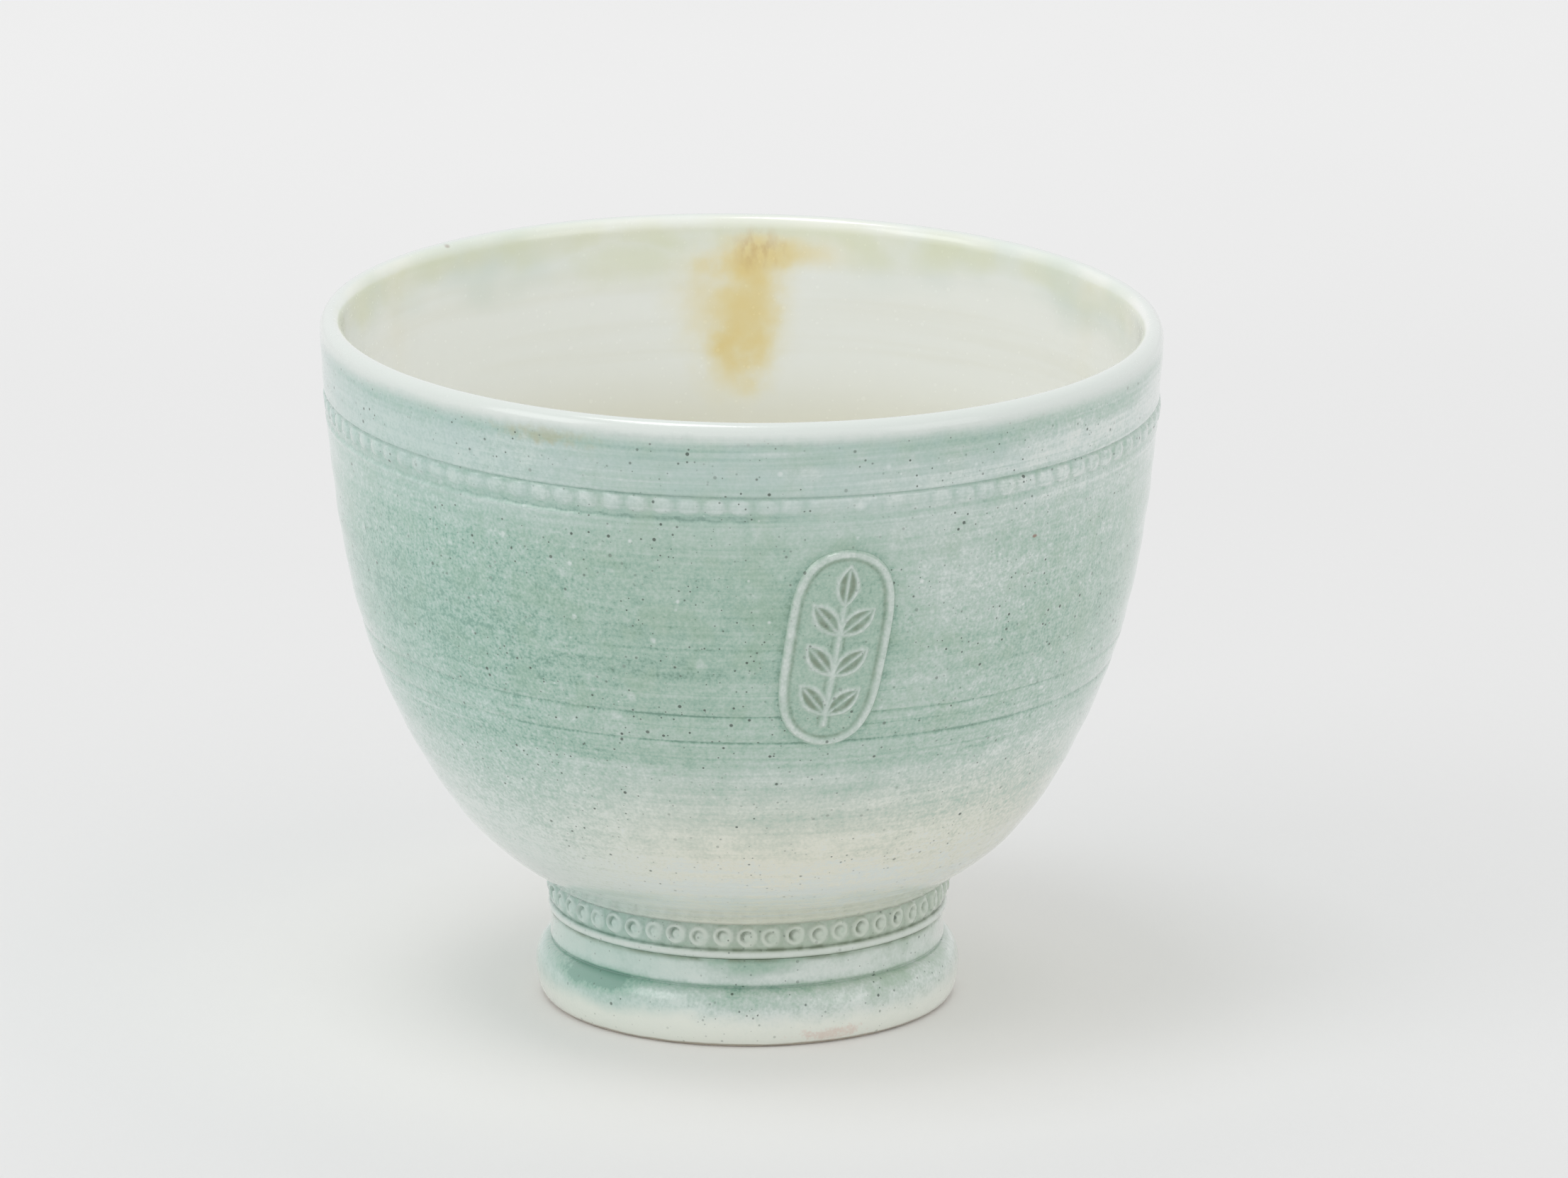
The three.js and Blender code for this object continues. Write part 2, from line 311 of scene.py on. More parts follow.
def wall_curve(start, start_slope, end, end_slope, leads, steps=400):
    """Points of a smooth wall between two (radius, height) points with a slope at each."""
    start = np.array(start)
    end = np.array(end)
    span = np.hypot(*(end - start))
    leaving = start + span * leads[0] * np.array([math.cos(start_slope), math.sin(start_slope)])
    arriving = end - span * leads[1] * np.array([math.cos(end_slope), math.sin(end_slope)])
    done = np.linspace(0, 1, steps + 1)[:, None]
    left = 1 - done
    return (
        left**3 * start
        + 3 * left**2 * done * leaving
        + 3 * left * done**2 * arriving
        + done**3 * end
    )


def arc(middle, radii, start, end, steps):
    """Points of an elliptical arc, from one angle in degrees to another."""
    turns = np.radians(np.linspace(start, end, steps + 1))
    return points(middle[0] + radii[0] * np.cos(turns), middle[1] + radii[1] * np.sin(turns))


def even_points(line, spacing):
    """Points along a line at about an even spacing, with both ends kept."""
    steps = np.hypot(*np.diff(line, axis=0).T)
    along = np.concatenate([[0], np.cumsum(steps)])
    places = np.linspace(0, along[-1], max(2, round(along[-1] / spacing) + 1))
    return points(*(np.interp(places, along, line[:, axis]) for axis in range(2)))


def row_heights(low, high, spacing, fine_zones):
    """Heights from low to high, closer together inside the (low, high, spacing) zones."""
    heights = [low]
    while heights[-1] < high:
        here = heights[-1] + spacing / 2
        steps = [zone[2] for zone in fine_zones if zone[0] <= here < zone[1]]
        heights.append(heights[-1] + (steps[0] if steps else spacing))
    heights[-1] = high
    return np.array(heights)


def bowl_walls(sizes):
    """The bowl's outside and inside walls as lines of (radius, height) points, true and round."""
    inward = sizes.belly_slope + math.pi / 2
    belly = np.array([sizes.belly_radius, BOWL_LOW.z + sizes.belly_height])
    belly_inside = belly + sizes.belly_wall * np.array([math.cos(inward), math.sin(inward)])

    def wall(start, start_slope, leads, turn, lip_radius):
        """From the start over the turn at the belly up to the lip."""
        lip = (lip_radius, sizes.lip_height)
        lower = wall_curve(start, start_slope, turn, sizes.belly_slope, leads)
        upper = wall_curve(turn, sizes.belly_slope, lip, sizes.rim_slope, RIM_LEADS)
        return np.concatenate([lower, upper[1:]])

    seat = (sizes.seat_radius, BOWL_LOW.z)
    floor = (0, BOWL_LOW.z + sizes.floor_thickness)
    rim_inside = sizes.rim_radius - sizes.lip_thickness
    return (
        wall(seat, sizes.seat_slope, SEAT_LEADS, belly, sizes.rim_radius),
        wall(floor, 0, FLOOR_LEADS, belly_inside, rim_inside),
    )


def outside_radius(height, sizes):
    """Radius of the bowl's outside wall at a height."""
    outside, _ = bowl_walls(sizes)
    return np.interp(height, outside[:, 1], outside[:, 0])


def round_places(places):
    """Radius, heading in radians and height of each place; heading 0 is the front, + is right."""
    x, y, z = places.T
    return np.hypot(x, y), np.arctan2(x, -y), z


def pushed_out(places, distance):
    """The places moved away from the cup's axis, each by its distance; those on it stay."""
    radius, _, _ = round_places(places)
    swell = np.where(radius > MM, 1 + distance / np.maximum(radius, MM), 1)
    return places * np.stack([swell, swell, np.ones(len(places))], axis=1)


def hand_thrown(places, hand):
    """The places moved as the thrower's hand left them: a dipping rim over a shifted foot."""
    x, y, z = places.T
    risen = smooth(z, hand.warp_low, hand.warp_high)
    return np.stack(
        [x + hand.foot_shift * (1 - risen), y, z - math.tan(hand.rim_dip) * x * risen], axis=1
    )


def deselect_all():
    """Leaves object mode's selection empty."""
    for thing in bpy.context.selected_objects:
        thing.select_set(False)


def close_up():
    """In edit mode, welds the seam and the poles and turns every face outwards."""
    bpy.ops.mesh.select_all(action="SELECT")
    bpy.ops.mesh.remove_doubles(threshold=WELD)
    bpy.ops.mesh.select_all(action="SELECT")
    bpy.ops.mesh.normals_make_consistent(inside=False)


def spin_outline(name, outline, columns):
    """Draws an outline of (radius, height) points and spins it round Z into a turned piece."""
    deselect_all()
    bpy.ops.mesh.primitive_plane_add(size=MM, location=(0, 0, 0))
    piece = bpy.context.object
    piece.name = name
    bpy.ops.object.mode_set(mode="EDIT")
    bpy.ops.mesh.select_all(action="SELECT")
    bpy.ops.mesh.merge(type="CENTER")
    bpy.ops.transform.translate(value=(outline[0][0], 0, outline[0][1]))
    for step in np.diff(outline, axis=0):
        bpy.ops.mesh.extrude_vertices_move(TRANSFORM_OT_translate={"value": (step[0], 0, step[1])})
    bpy.ops.mesh.select_all(action="SELECT")
    bpy.ops.mesh.spin(
        steps=columns, angle=math.tau, use_auto_merge=True, center=(0, 0, 0), axis=(0, 0, 1)
    )
    close_up()
    bpy.ops.object.mode_set(mode="OBJECT")
    return piece


def refine(piece, wanted, cuts):
    """Divides the faces whose middles are wanted, a function of an array of places."""
    mesh = piece.data
    middles = np.empty(len(mesh.polygons) * 3, np.float32)
    mesh.polygons.foreach_get("center", middles)
    chosen = wanted(middles.reshape(-1, 3).astype(float))
    for part in (mesh.vertices, mesh.edges):
        part.foreach_set("select", np.zeros(len(part), bool))
    mesh.polygons.foreach_set("select", chosen)
    bpy.ops.object.mode_set(mode="EDIT")
    bpy.ops.mesh.select_mode(type="FACE")
    bpy.ops.mesh.subdivide(number_cuts=cuts)
    bpy.ops.mesh.select_mode(type="VERT")
    bpy.ops.object.mode_set(mode="OBJECT")


def places_of(piece):
    """The piece's vertices as an array of places."""
    places = np.empty(len(piece.data.vertices) * 3, np.float32)
    piece.data.vertices.foreach_get("co", places)
    return places.reshape(-1, 3).astype(float)


def shape_by_hand(piece, places, hand):
    """Moves the piece's vertices to the places, as the thrower's hand left them."""
    thrown = hand_thrown(places, hand)
    piece.data.vertices.foreach_set("co", thrown.astype(np.float32).ravel())
    piece.data.update()


def mark(piece, name, values):
    """Keeps a number for each vertex, which the glaze then reads by its name."""
    attribute = piece.data.attributes.new(name, "FLOAT", "POINT")
    attribute.data.foreach_set("value", np.asarray(values, np.float32))


def finish_piece(piece, material, node):
    """Glazes the piece, smooths it, and has it stand for its CAD node on the cup's body."""
    piece.data.materials.clear()
    piece.data.materials.append(material)
    deselect_all()
    piece.select_set(True)
    bpy.context.view_layer.objects.active = piece
    bpy.ops.object.shade_smooth()
    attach(piece, BODY)
    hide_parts(node)


class Signal:
    """What a node gives: mostly a number that varies over a piece, or a colour or a shader.

    It adds, subtracts and multiplies like a plain number, by making the nodes for it.
    """

    def __init__(self, nodes, socket):
        self.nodes = nodes
        self.socket = socket

    def math(self, operation, other=0.0, clamp=False):
        """One of Blender's math operations on it and another number."""
        return self.nodes.math(operation, self, other, clamp)

    def __add__(self, other):
        return self.math("ADD", other)

    def __sub__(self, other):
        return self.math("SUBTRACT", other)

    def __rsub__(self, other):
        return self.nodes.math("SUBTRACT", other, self)

    def __mul__(self, other):
        return self.math("MULTIPLY", other)

    __radd__ = __add__
    __rmul__ = __mul__

    def rise(self, low, high, at_low=0.0, at_high=1.0):
        """An even rise from at_low, where it is low, to at_high, where it is high."""
        inputs = {0: self, 1: low, 2: high, 3: at_low, 4: at_high}
        return self.nodes.signal("ShaderNodeMapRange", inputs, interpolation_type="SMOOTHSTEP")

    def thread(self, middle, width):
        """1 where it is at the middle, falling to 0 a width away on both sides."""
        return (self - middle).math("ABSOLUTE").rise(width, 0)

    def tones(self, stops):
        """A colour ramp through (position, colour) stops."""
        node = self.nodes.add("ShaderNodeValToRGB", {0: self})
        elements = node.color_ramp.elements
        while len(elements) < len(stops):
            elements.new(0.5)
        for element, (position, tone) in zip(elements, stops):
            element.position = position
            element.color = tone
        return Signal(self.nodes, node.outputs[0])

    def level(self, low, high, stops):
        """A number that follows (value, number) stops between a low and a high value."""
        share = self.nodes.signal("ShaderNodeMapRange", {0: self, 1: low, 2: high})
        return share.tones([((at - low) / (high - low), (grey, grey, grey, 1)) for at, grey in stops])

    def tinted(self, share, tone):
        """The colour under a share, from 0 to 1, of another one."""
        return self.nodes.mix(share, self, tone)


def hypotenuse(first, second):
    """The distance that two signals at right angles make."""
    return (first * first + second * second).math("SQRT")


class Nodes:
    """The nodes of a material or of the world, with short ways to add to them."""

    def __init__(self, owner, output):
        owner.use_nodes = True
        self.tree = owner.node_tree
        self.tree.nodes.clear()
        self.surface = self.tree.nodes.new(output).inputs["Surface"]

    def feed(self, socket, value):
        """Links a signal to a socket, or sets the socket's constant."""
        if isinstance(value, Signal):
            self.tree.links.new(value.socket, socket)
        else:
            socket.default_value = value

    def add(self, kind, inputs, **settings):
        """A new node with its settings made and its inputs fed, by name or number."""
        node = self.tree.nodes.new(kind)
        for key, value in settings.items():
            setattr(node, key, value)
        for key, value in inputs.items():
            self.feed(node.inputs[key], value)
        return node

    def signal(self, kind, inputs, output=0, **settings):
        """What a new node gives at its first output, or at the one of that name or number."""
        return Signal(self, self.add(kind, inputs, **settings).outputs[output])

    def math(self, operation, first, second=0.0, clamp=False):
        """One of Blender's math operations on two numbers."""
        inputs = {0: first, 1: second}
        return self.signal("ShaderNodeMath", inputs, operation=operation, use_clamp=clamp)

    def mix(self, share, first, second, blend="MIX"):
        """A share, from 0 to 1, of the second colour over the first one."""
        inputs = {0: share, 6: first, 7: second}
        return self.signal("ShaderNodeMix", inputs, 2, data_type="RGBA", blend_type=blend)


class Recipe(Nodes):
    """One material, with short ways to say where on its piece something lies."""

    def __init__(self, name):
        self.material = bpy.data.materials.new(name)
        super().__init__(self.material, "ShaderNodeOutputMaterial")
        self.shader = self.add("ShaderNodeBsdfPrincipled", {})
        self.body = Signal(self, self.shader.outputs["BSDF"])
        self.feed(self.surface, self.body)
        axes = self.add("ShaderNodeSeparateXYZ", {0: self.place()}).outputs
        self.x = Signal(self, axes["X"])
        self.y = Signal(self, axes["Y"])

    def place(self, stretch=(1, 1, 1)):
        """Where the surface is on the piece, in metres, with each axis multiplied."""
        spot = self.signal("ShaderNodeTexCoord", {}, "Object")
        return self.signal("ShaderNodeMapping", {"Vector": spot, "Scale": stretch})

    def kept(self, name):
        """The number that mark() kept on the mesh under that name."""
        return self.signal("ShaderNodeAttribute", {}, "Fac", attribute_name=name)

    def heading(self):
        """Degrees round the cup from its front, positive to the right."""
        return self.x.math("ARCTAN2", self.y * -1) * math.degrees(1)

    def sideways(self):
        """Degrees to the right of the front, or of the back for what lies behind."""
        # The small number keeps the axis itself from a division by 0
        out = (self.x * self.x + self.y * self.y + 1e-9).math("SQRT")
        return self.x.math("DIVIDE", out).math("ARCSINE") * math.degrees(1)

    def noise(self, size, detail=2, stretch=(1, 1, 1)):
        """Cloudy noise from 0 to 1 whose patches are about that size across."""
        inputs = {"Vector": self.place(stretch), "Scale": 1 / size, "Detail": detail}
        return self.signal("ShaderNodeTexNoise", inputs)

    def waver(self, size, detail=2, stretch=(1, 1, 1)):
        """Such noise, but about 0 on average."""
        return self.noise(size, detail, stretch) - 0.5

    def mottling(self):
        """The finer and the broader unevenness that every fired surface has."""
        return self.waver(0.38 * MM, 2.5), self.waver(3.2 * MM, 3)

    def specks(self, spacing, radius, share, softness=0.5):
        """Round specks about that far apart, in that share of the places that could hold one."""
        cells = self.add("ShaderNodeTexVoronoi", {"Vector": self.place(), "Scale": 1 / spacing})
        distance, tone = (Signal(self, cells.outputs[name]) for name in ("Distance", "Color"))
        chances = self.add("ShaderNodeSeparateColor", {0: tone}).outputs
        present = Signal(self, chances[0]).math("LESS_THAN", share)
        reach = Signal(self, chances[1]) * (0.6 * radius) + 0.4 * radius
        return (distance * spacing).math("DIVIDE", reach).rise(1, 1 - softness) * present

    def patch(self, first, second, spot, ragged, edge=1):
        """A soft-edged patch whose outline is made ragged.

        The spot is its middle and its reach, each in the same two measures.
        """
        (middle, other_middle), (reach, other_reach) = spot
        aside = (first - middle) * (1 / reach)
        above = (second - other_middle) * (1 / other_reach)
        return (hypotenuse(aside, above) + ragged).rise(1, 1 - edge)

    def cover(self, tone, roughness, **constants):
        """Gives the shader its colour, its roughness and its constants, with _ for a space."""
        self.feed(self.shader.inputs["Base Color"], tone)
        self.feed(self.shader.inputs["Roughness"], roughness)
        for name, value in constants.items():
            self.shader.inputs[name.replace("_", " ")].default_value = value

    def bump(self, *layers):
        """Feeds the shader's normal with one bump over another, given as (height, depth)."""
        under = {}
        for height, depth in layers:
            inputs = {"Height": height, "Distance": depth, "Strength": 1, **under}
            under = {"Normal": self.signal("ShaderNodeBump", inputs)}
        self.feed(self.shader.inputs["Normal"], under["Normal"])


class Glaze(Recipe):
    """The celadon on one piece, with the unevenness that its coat and its colours follow."""

    def __init__(self, name, colours, blotch_size=1.1 * MM, blotch_stretch=(1, 1, 1)):
        super().__init__(name)
        self.colours = colours
        self.pool = self.kept("pool")
        self.side = self.sideways()
        self.grain, self.cloud = self.mottling()
        self.drift = self.waver(16 * MM, 2, (1, 1, 1.6))
        self.blotches = self.waver(blotch_size, 2, blotch_stretch)

    def celadon(self, coat, warm=0.0):
        """The celadon's colour for how thickly it lies, from 0 to 1, and how warm it is."""
        shades = self.colours
        ramps = []
        for thin, light in ((shades.thin, shades.light), (shades.thin_warm, shades.light_warm)):
            stops = (
                (0, shades.bare),
                (0.17, thin),
                (0.42, light),
                (0.66, shades.full),
                (0.83, shades.thick),
                (1, shades.pooled),
            )
            ramps.append(coat.tones(stops))
        return self.mix(warm, *ramps)

    def speckled(self, tone, strength):
        """The colour with iron specks of two sizes burnt through it, and where the specks are."""
        large = self.specks(1.6 * MM, 0.3 * MM, 0.8)
        small = self.specks(0.9 * MM, 0.19 * MM, 0.75)
        clustered = self.noise(7 * MM).rise(0.4, 0.6, 0.4, 1.15)
        burnt = (large + small * 0.75) * strength * clustered
        burnt = burnt.math("MINIMUM", 0.92)
        return tone.tinted(burnt, self.colours.iron), burnt

    def fire(self, tone, roughness):
        """Gives the shader its colour and a fired glaze's gloss."""
        self.cover(tone, roughness, IOR=1.5, Coat_Weight=0.9, Coat_Roughness=0.13, Coat_IOR=1.6)


# How thickly the celadon lies, as (height in mm, thickness from 0 to 1)
BOWL_COAT = (
    (15, 0.28), (17.5, 0.13), (21, 0.04), (27, 0.24), (32, 0.38), (39, 0.46), (41.2, 0.56),
    (47, 0.64), (53, 0.74), (58, 0.75), (64, 0.7), (70, 0.62), (74, 0.54), (77, 0.46),
    (78.6, 0.64), (79.8, 0.82),
)
FOOT_COAT = (
    (0, 0.02), (2.5, 0.05), (3.6, 0.1), (5, 0.24), (6.5, 0.36), (7.6, 0.26), (8.4, 0.16),
    (9.4, 0.2), (10.6, 0.34), (15, 0.36),
)

# Height in mm, half width in mm and darkness of each line the turning tool left
TURNED_LINES = (
    (43.15, 0.26, 0.65),
    (46.6, 0.24, 0.75),
    (51.4, 0.9, 0.3),
    (45.1, 0.14, 0.3),
    (49.3, 0.16, 0.25),
    (41, 0.3, 0.45),
    (40.1, 0.5, 0.35),
    (55, 0.5, 0.25),
    (75.6, 0.14, 0.2),
    (77.3, 0.2, 0.14),
    (25.4, 0.16, 0.16),
    (22, 0.14, 0.16),
)

# Height and half width of the painted highlight along a groove's lower lip at the left, in mm
PAINTED_HIGHLIGHT_LINE = (41.5, 0.26)

# Middle and reach of each mark, in degrees to the right of the front and mm of height
# The two sheens are painted reflections on the right of the wall, laid in as a thinner, paler coat
PAINTED_SHEEN = ((13, 71), (15, 7))
WIDE_PAINTED_SHEEN = ((30, 62), (19, 19))
SMUDGE = ((-27, 80.2), (9, 1.6))
RUST_SPECK = ((44.7, 66), (0.6, 0.3))
RIM_CHIP = ((-132.3, 82.75), (0.7, 0.3))
PINK_FLASH = ((24, 1.2), (12, 1.1))

# Middle and reach of each thicker patch on the foot, in the same measures, and its strength
FOOT_PATCHES = (
    (((-46, 6.2), (24, 1.9)), 0.84),
    (((2, 5.4), (20, 2.2)), 0.32),
    (((44, 6.1), (15, 1.5)), 0.3),
    (((4, 9.4), (22, 1.9)), 0.5),
    (((-64, 6.2), (18, 1.4)), 0.25),
)

# Middle and reach on the bowl's inside at the back, in mm to the right and mm of height; each
# part of the ochre run has its strength too
GREEN_PATCH = ((-13, 78), (12, 5))
RUN_STREAKS = ((1.9, 79), (4.8, 3.6))
RUN_PARTS = (
    (((1.5, 72.6), (6.6, 12.5)), 0.5),
    (((1.2, 69), (5.2, 8.5)), 0.24),
    (((-1.4, 64.2), (6.4, 6.2)), 0.44),
    (((1.4, 78.4), (9.5, 4.6)), 0.38),
    (((-2.8, 71.6), (8.6, 10)), 0.42),
    (((7.8, 78.6), (8, 3.2)), 0.42),
    (((-4.5, 77.2), (6.5, 3)), 0.22),
)

# How far apart the throwing spiral's turns lie on the bowl's floor
SPIRAL_PITCH = 4.2 * MM


class BowlGlaze(Glaze):
    """The bowl's celadon outside, its clear glaze inside, and the marks in both."""

    def __init__(self, colours):
        super().__init__("bowl_celadon", colours)
        self.height = self.kept("height")
        self.turn = self.heading()
        self.lines = self.waver(0.55 * MM, 2, (0.02, 0.02, 1))
        self.wide_lines = self.waver(2.6 * MM, 2, (0.05, 0.05, 1))
        self.left = self.side.rise(-8, -50)
        self.right = self.side.rise(10, 60)
        self.shoulder = self.height.rise(66, 77)

    def coat(self):
        """How thickly the celadon lies outside, from 0 to 1, with painted reflections thinning it on the
        right and painted shade thickening it at the right edge.
        """
        height = self.height
        wandering = height + self.drift * 5 + self.wide_lines * 3
        lively = 0.75 + self.left * 1.5 + self.right * 0.95
        mottled = (self.grain * 0.75 + self.blotches * 0.42) * (lively * height.rise(62, 74, 1, 0.65))
        streaks = self.lines * 0.4 + self.wide_lines * 0.24
        coat = (
            wandering.level(15, 84, BOWL_COAT)
            + mottled * height.rise(18, 44, 0.5, 1)
            + self.cloud * 0.3
            + self.drift * 0.15
            + streaks * (1 + self.shoulder)
            + self.right * height.rise(24, 54, -0.02, -0.12)
            # Painted shade at the right edge: a thicker, darker coat that offsets the pale reflection
            # there at a grazing angle
            + self.side.rise(46, 68, 0, 0.08)
            + (self.left + self.right) * height.rise(58, 74) * -0.16
            + self.pool * 0.34
        )
        faint = self.noise(9 * MM) - 0.2
        wavy = height + self.drift * 0.7
        for line_height, half_width, darkness in TURNED_LINES:
            coat = coat + wavy.thread(line_height, half_width) * faint * darkness
        # A painted highlight at the left, where a groove's lower lip catches the light, laid in as a
        # thinner coat
        coat = coat + wavy.thread(*PAINTED_HIGHLIGHT_LINE) * self.side.rise(-34, -55) * -0.35
        pale_spots = self.specks(5.2 * MM, 1.15 * MM, 0.7, 0.8)
        white_spots = self.specks(2.9 * MM, 0.48 * MM, 0.8, 0.7)
        spots = (pale_spots * 0.36 + white_spots * 0.42) * (
            height.rise(40, 50) * self.side.rise(10, 45, 1, 0.55)
        )
        # Painted reflections on the right of the wall: the coat is thinned there so that it shows paler
        painted_sheen = self.patch(self.turn, height, PAINTED_SHEEN, self.cloud)
        wide_painted_sheen = self.patch(self.turn, height, WIDE_PAINTED_SHEEN, self.drift)
        return coat.math("SUBTRACT", spots + painted_sheen * 0.12 + wide_painted_sheen * 0.24, True)

    def outside(self):
        """The colour outside, and where iron specks have burnt through it."""
        shades = self.colours
        height = self.height
        coat = self.coat()
        tone = self.celadon(coat, height.rise(42, 25) * self.side.rise(-55, 5))
        leafy = self.noise(4.5 * MM, 3).rise(0.5, 0.66) * height.rise(40, 46, 0, 0.45)
        tone = tone.tinted(leafy * coat, shades.moss)
        tone = tone.tinted(self.left * height.rise(24, 44, 0.05, 0.38), shades.teal)
        tone = tone.tinted(self.right * coat * 0.3, shades.grey)
        blueness = 0.34 + self.cloud * 0.9 + self.right * -0.3
        tone = tone.tinted(blueness * self.shoulder, shades.blue)
        smudge = self.patch(self.turn, height, SMUDGE, self.blotches * 1.6, 0.9)
        tone = tone.tinted(smudge * 0.6, shades.smudge)
        rust = self.patch(self.turn, height, RUST_SPECK, self.cloud * 1.2, 0.6)
        tone = tone.tinted(rust * 0.8, shades.rust)
        tone, burnt = self.speckled(tone, height.rise(20, 36, 0.6, 1))
        edge = height + self.drift * 1.2 + self.blotches * 0.8
        return tone.tinted(edge.rise(79.7, 82), shades.bare), burnt

    def inside(self):
        """The clear glaze's colour, green under the rim, with painted shade deeper down and the ochre run
        at the back.
        """
        shades = self.colours
        height = self.height
        across = self.x * (1 / MM)
        ragged = self.cloud * 0.5 + self.drift * 0.35
        behind = self.y.rise(0, 10 * MM)
        uneven = height + self.drift * 10
        cool = uneven.rise(73, 78.5) * self.noise(14 * MM).rise(0.3, 0.7)
        cool = cool * self.x.math("ABSOLUTE").rise(12 * MM, 30 * MM, 0.15, 0.7)
        tone = self.mix(cool, shades.inside, shades.inside_blue)
        fade = self.noise(9 * MM, 3).rise(0.3, 0.65, 0.2, 1)
        green = uneven.rise(77.2, 80.6) * fade * across.rise(24, 42, 1, 0.5)
        beside_run = self.patch(across, height, GREEN_PATCH, ragged) * behind * 0.8
        green = green.math("MAXIMUM", beside_run) * height.rise(81.2, 82.6, 1, 0.45)
        tone = tone.tinted(green * 0.68, shades.inside_green)
        chip = self.patch(self.turn, height, RIM_CHIP, self.cloud * 0.8, 0.8)
        tone = tone.tinted(chip * 0.5, shades.rust)
        bottom = (height + self.cloud * 3).rise(23, 19.5)
        tone = tone.tinted(bottom * 0.6, shades.thin)
        # Painted shade that darkens the inside deeper in the bowl, less so near its floor
        depth = height.rise(67, 54, 0, 0.95) * height.rise(28, 50, 0.3, 1)
        streaks = self.wide_lines.rise(-0.1, 0.4, 0, 0.3)
        tone = tone.tinted(depth.math("MAXIMUM", streaks), shades.inside_lines_and_painted_shade)
        run = 0
        for spot, strength in RUN_PARTS:
            run = run + self.patch(across, height, spot, ragged) * strength
        run = run * behind * height.rise(82, 80.4)
        tone = tone.tinted(run.math("MULTIPLY", 1.4, True), shades.stain_edge)
        tone = tone.tinted(run.rise(0.1, 1.1), shades.stain)
        thread = self.noise(1.2 * MM, 4, (1, 1, 0.55)).rise(0.4, 0.66)
        streak = self.patch(across, height, RUN_STREAKS, ragged) * thread * behind
        return tone.tinted(streak * 0.42, shades.stain_streak)

    def finished(self):
        """The whole bowl's material."""
        inside = self.kept("inside")
        tone, burnt = self.outside()
        tone = self.mix(inside, tone, self.inside())
        self.fire(tone, 0.24 + self.cloud * 0.12 + burnt * 0.2)
        fine = (self.grain + self.lines * 1.4) * (1 - inside)
        spiral = hypotenuse(self.x, self.y) * (1 / SPIRAL_PITCH) + self.turn * (-1 / 360)
        spiral = (spiral * math.tau).math("SINE") * inside * self.height.rise(40, 24)
        self.bump(
            (fine, 0.03 * MM),
            (self.cloud + self.wide_lines, 0.05 * MM),
            (spiral, 0.05 * MM),
        )
        return self.material


def piece_glaze(name, shades, coat_level, sage):
    """The celadon on a small piece, whose thickness follows the marks on its mesh."""
    glaze = Glaze(name, shades)
    coat = (
        coat_level
        + glaze.pool * 0.4
        + glaze.grain * 0.6
        + glaze.blotches * 0.4
        + glaze.cloud * 0.25
        + glaze.drift * 0.15
    )
    tone = glaze.celadon(coat)
    tone = tone.tinted(glaze.side.rise(0, -45, 0, 0.4), shades.teal)
    tone = tone.tinted(glaze.side.rise(-40, 10, 0, sage), shades.sage)
    tone = tone.tinted(glaze.kept("bare") * (0.85 + glaze.blotches * 0.8), shades.bare)
    patchy = glaze.noise(1.7 * MM).rise(0.35, 0.62, 0.5, 1)
    deep = glaze.mix(glaze.side.rise(5, -45), shades.olive_pool_and_shadow, shades.pooled)
    # On the collar this dark line takes in the painted shadow under the fillet too
    tone = tone.tinted(glaze.kept("line") * patchy, deep)
    tone, burnt = glaze.speckled(tone, 0.7)
    glaze.fire(tone, 0.22 + glaze.cloud * 0.12 + burnt * 0.2)
    glaze.bump((glaze.grain, 0.02 * MM), (glaze.cloud, 0.04 * MM))
    return glaze.material


def foot_glaze(shades):
    """The foot's celadon, which thins over the creamy roll down to the bare rest."""
    glaze = Glaze("foot_celadon", shades, 1.3 * MM, (0.7, 0.7, 1))
    side, cloud = glaze.side, glaze.cloud
    height = glaze.kept("height")
    heading = glaze.heading()
    broad = glaze.waver(7 * MM, 3, (0.6, 0.6, 1))
    mottled = glaze.blotches * 0.65 + glaze.grain * 0.7
    right = side.rise(5, 40)
    coat = (
        height.level(0, 15, FOOT_COAT)
        + glaze.pool * (0.5 + right * -0.2)
        + broad * 0.7
        + cloud * 0.35
        + mottled * height.rise(6.8, 8.2, 1, 0.5)
        + side.rise(-10, -50) * height.rise(7.4, 8.4, 0, -0.16)
    )
    ragged = cloud + glaze.drift * 0.8
    for spot, strength in FOOT_PATCHES:
        coat = coat + glaze.patch(heading, height, spot, ragged) * strength
    tone = glaze.celadon(coat.math("MAXIMUM", 0))
    tone = tone.tinted(side.rise(10, -50) * 0.42, shades.teal)
    tone = tone.tinted(right * coat * 0.5, shades.sage)
    patchy = glaze.noise(3 * MM).rise(0.35, 0.62, 0.35, 1)
    # The olive line under the collar is glaze pooled in the joint and painted shadow under the fillet
    tone = tone.tinted(glaze.kept("line") * patchy, shades.olive_pool_and_shadow)
    cream = (height + broad * 3 + cloud * 1.6).rise(4.8, 2.2, 0, 0.8)
    tone = tone.tinted(cream, shades.foot)
    tone, _ = glaze.speckled(tone, height.rise(1.5, 5, 0.3, 0.8))
    frayed = (glaze.blotches + glaze.grain) * 1.6
    flash = glaze.patch(heading, height, PINK_FLASH, frayed, 0.9)
    tone = tone.tinted(flash * 0.62, shades.flash)
    bottom = height + cloud * 0.3
    tone = tone.tinted(bottom.rise(0.55, 0.2, 0, 0.85), shades.toasted)
    unglazed = bottom.rise(0.16, 0.06)
    tone = tone.tinted(unglazed, shades.clay)
    glaze.fire(tone, 0.2 + cloud * 0.1 + unglazed * 0.5)
    glaze.bump((glaze.grain, 0.03 * MM), (cloud, 0.05 * MM))
    return glaze.material


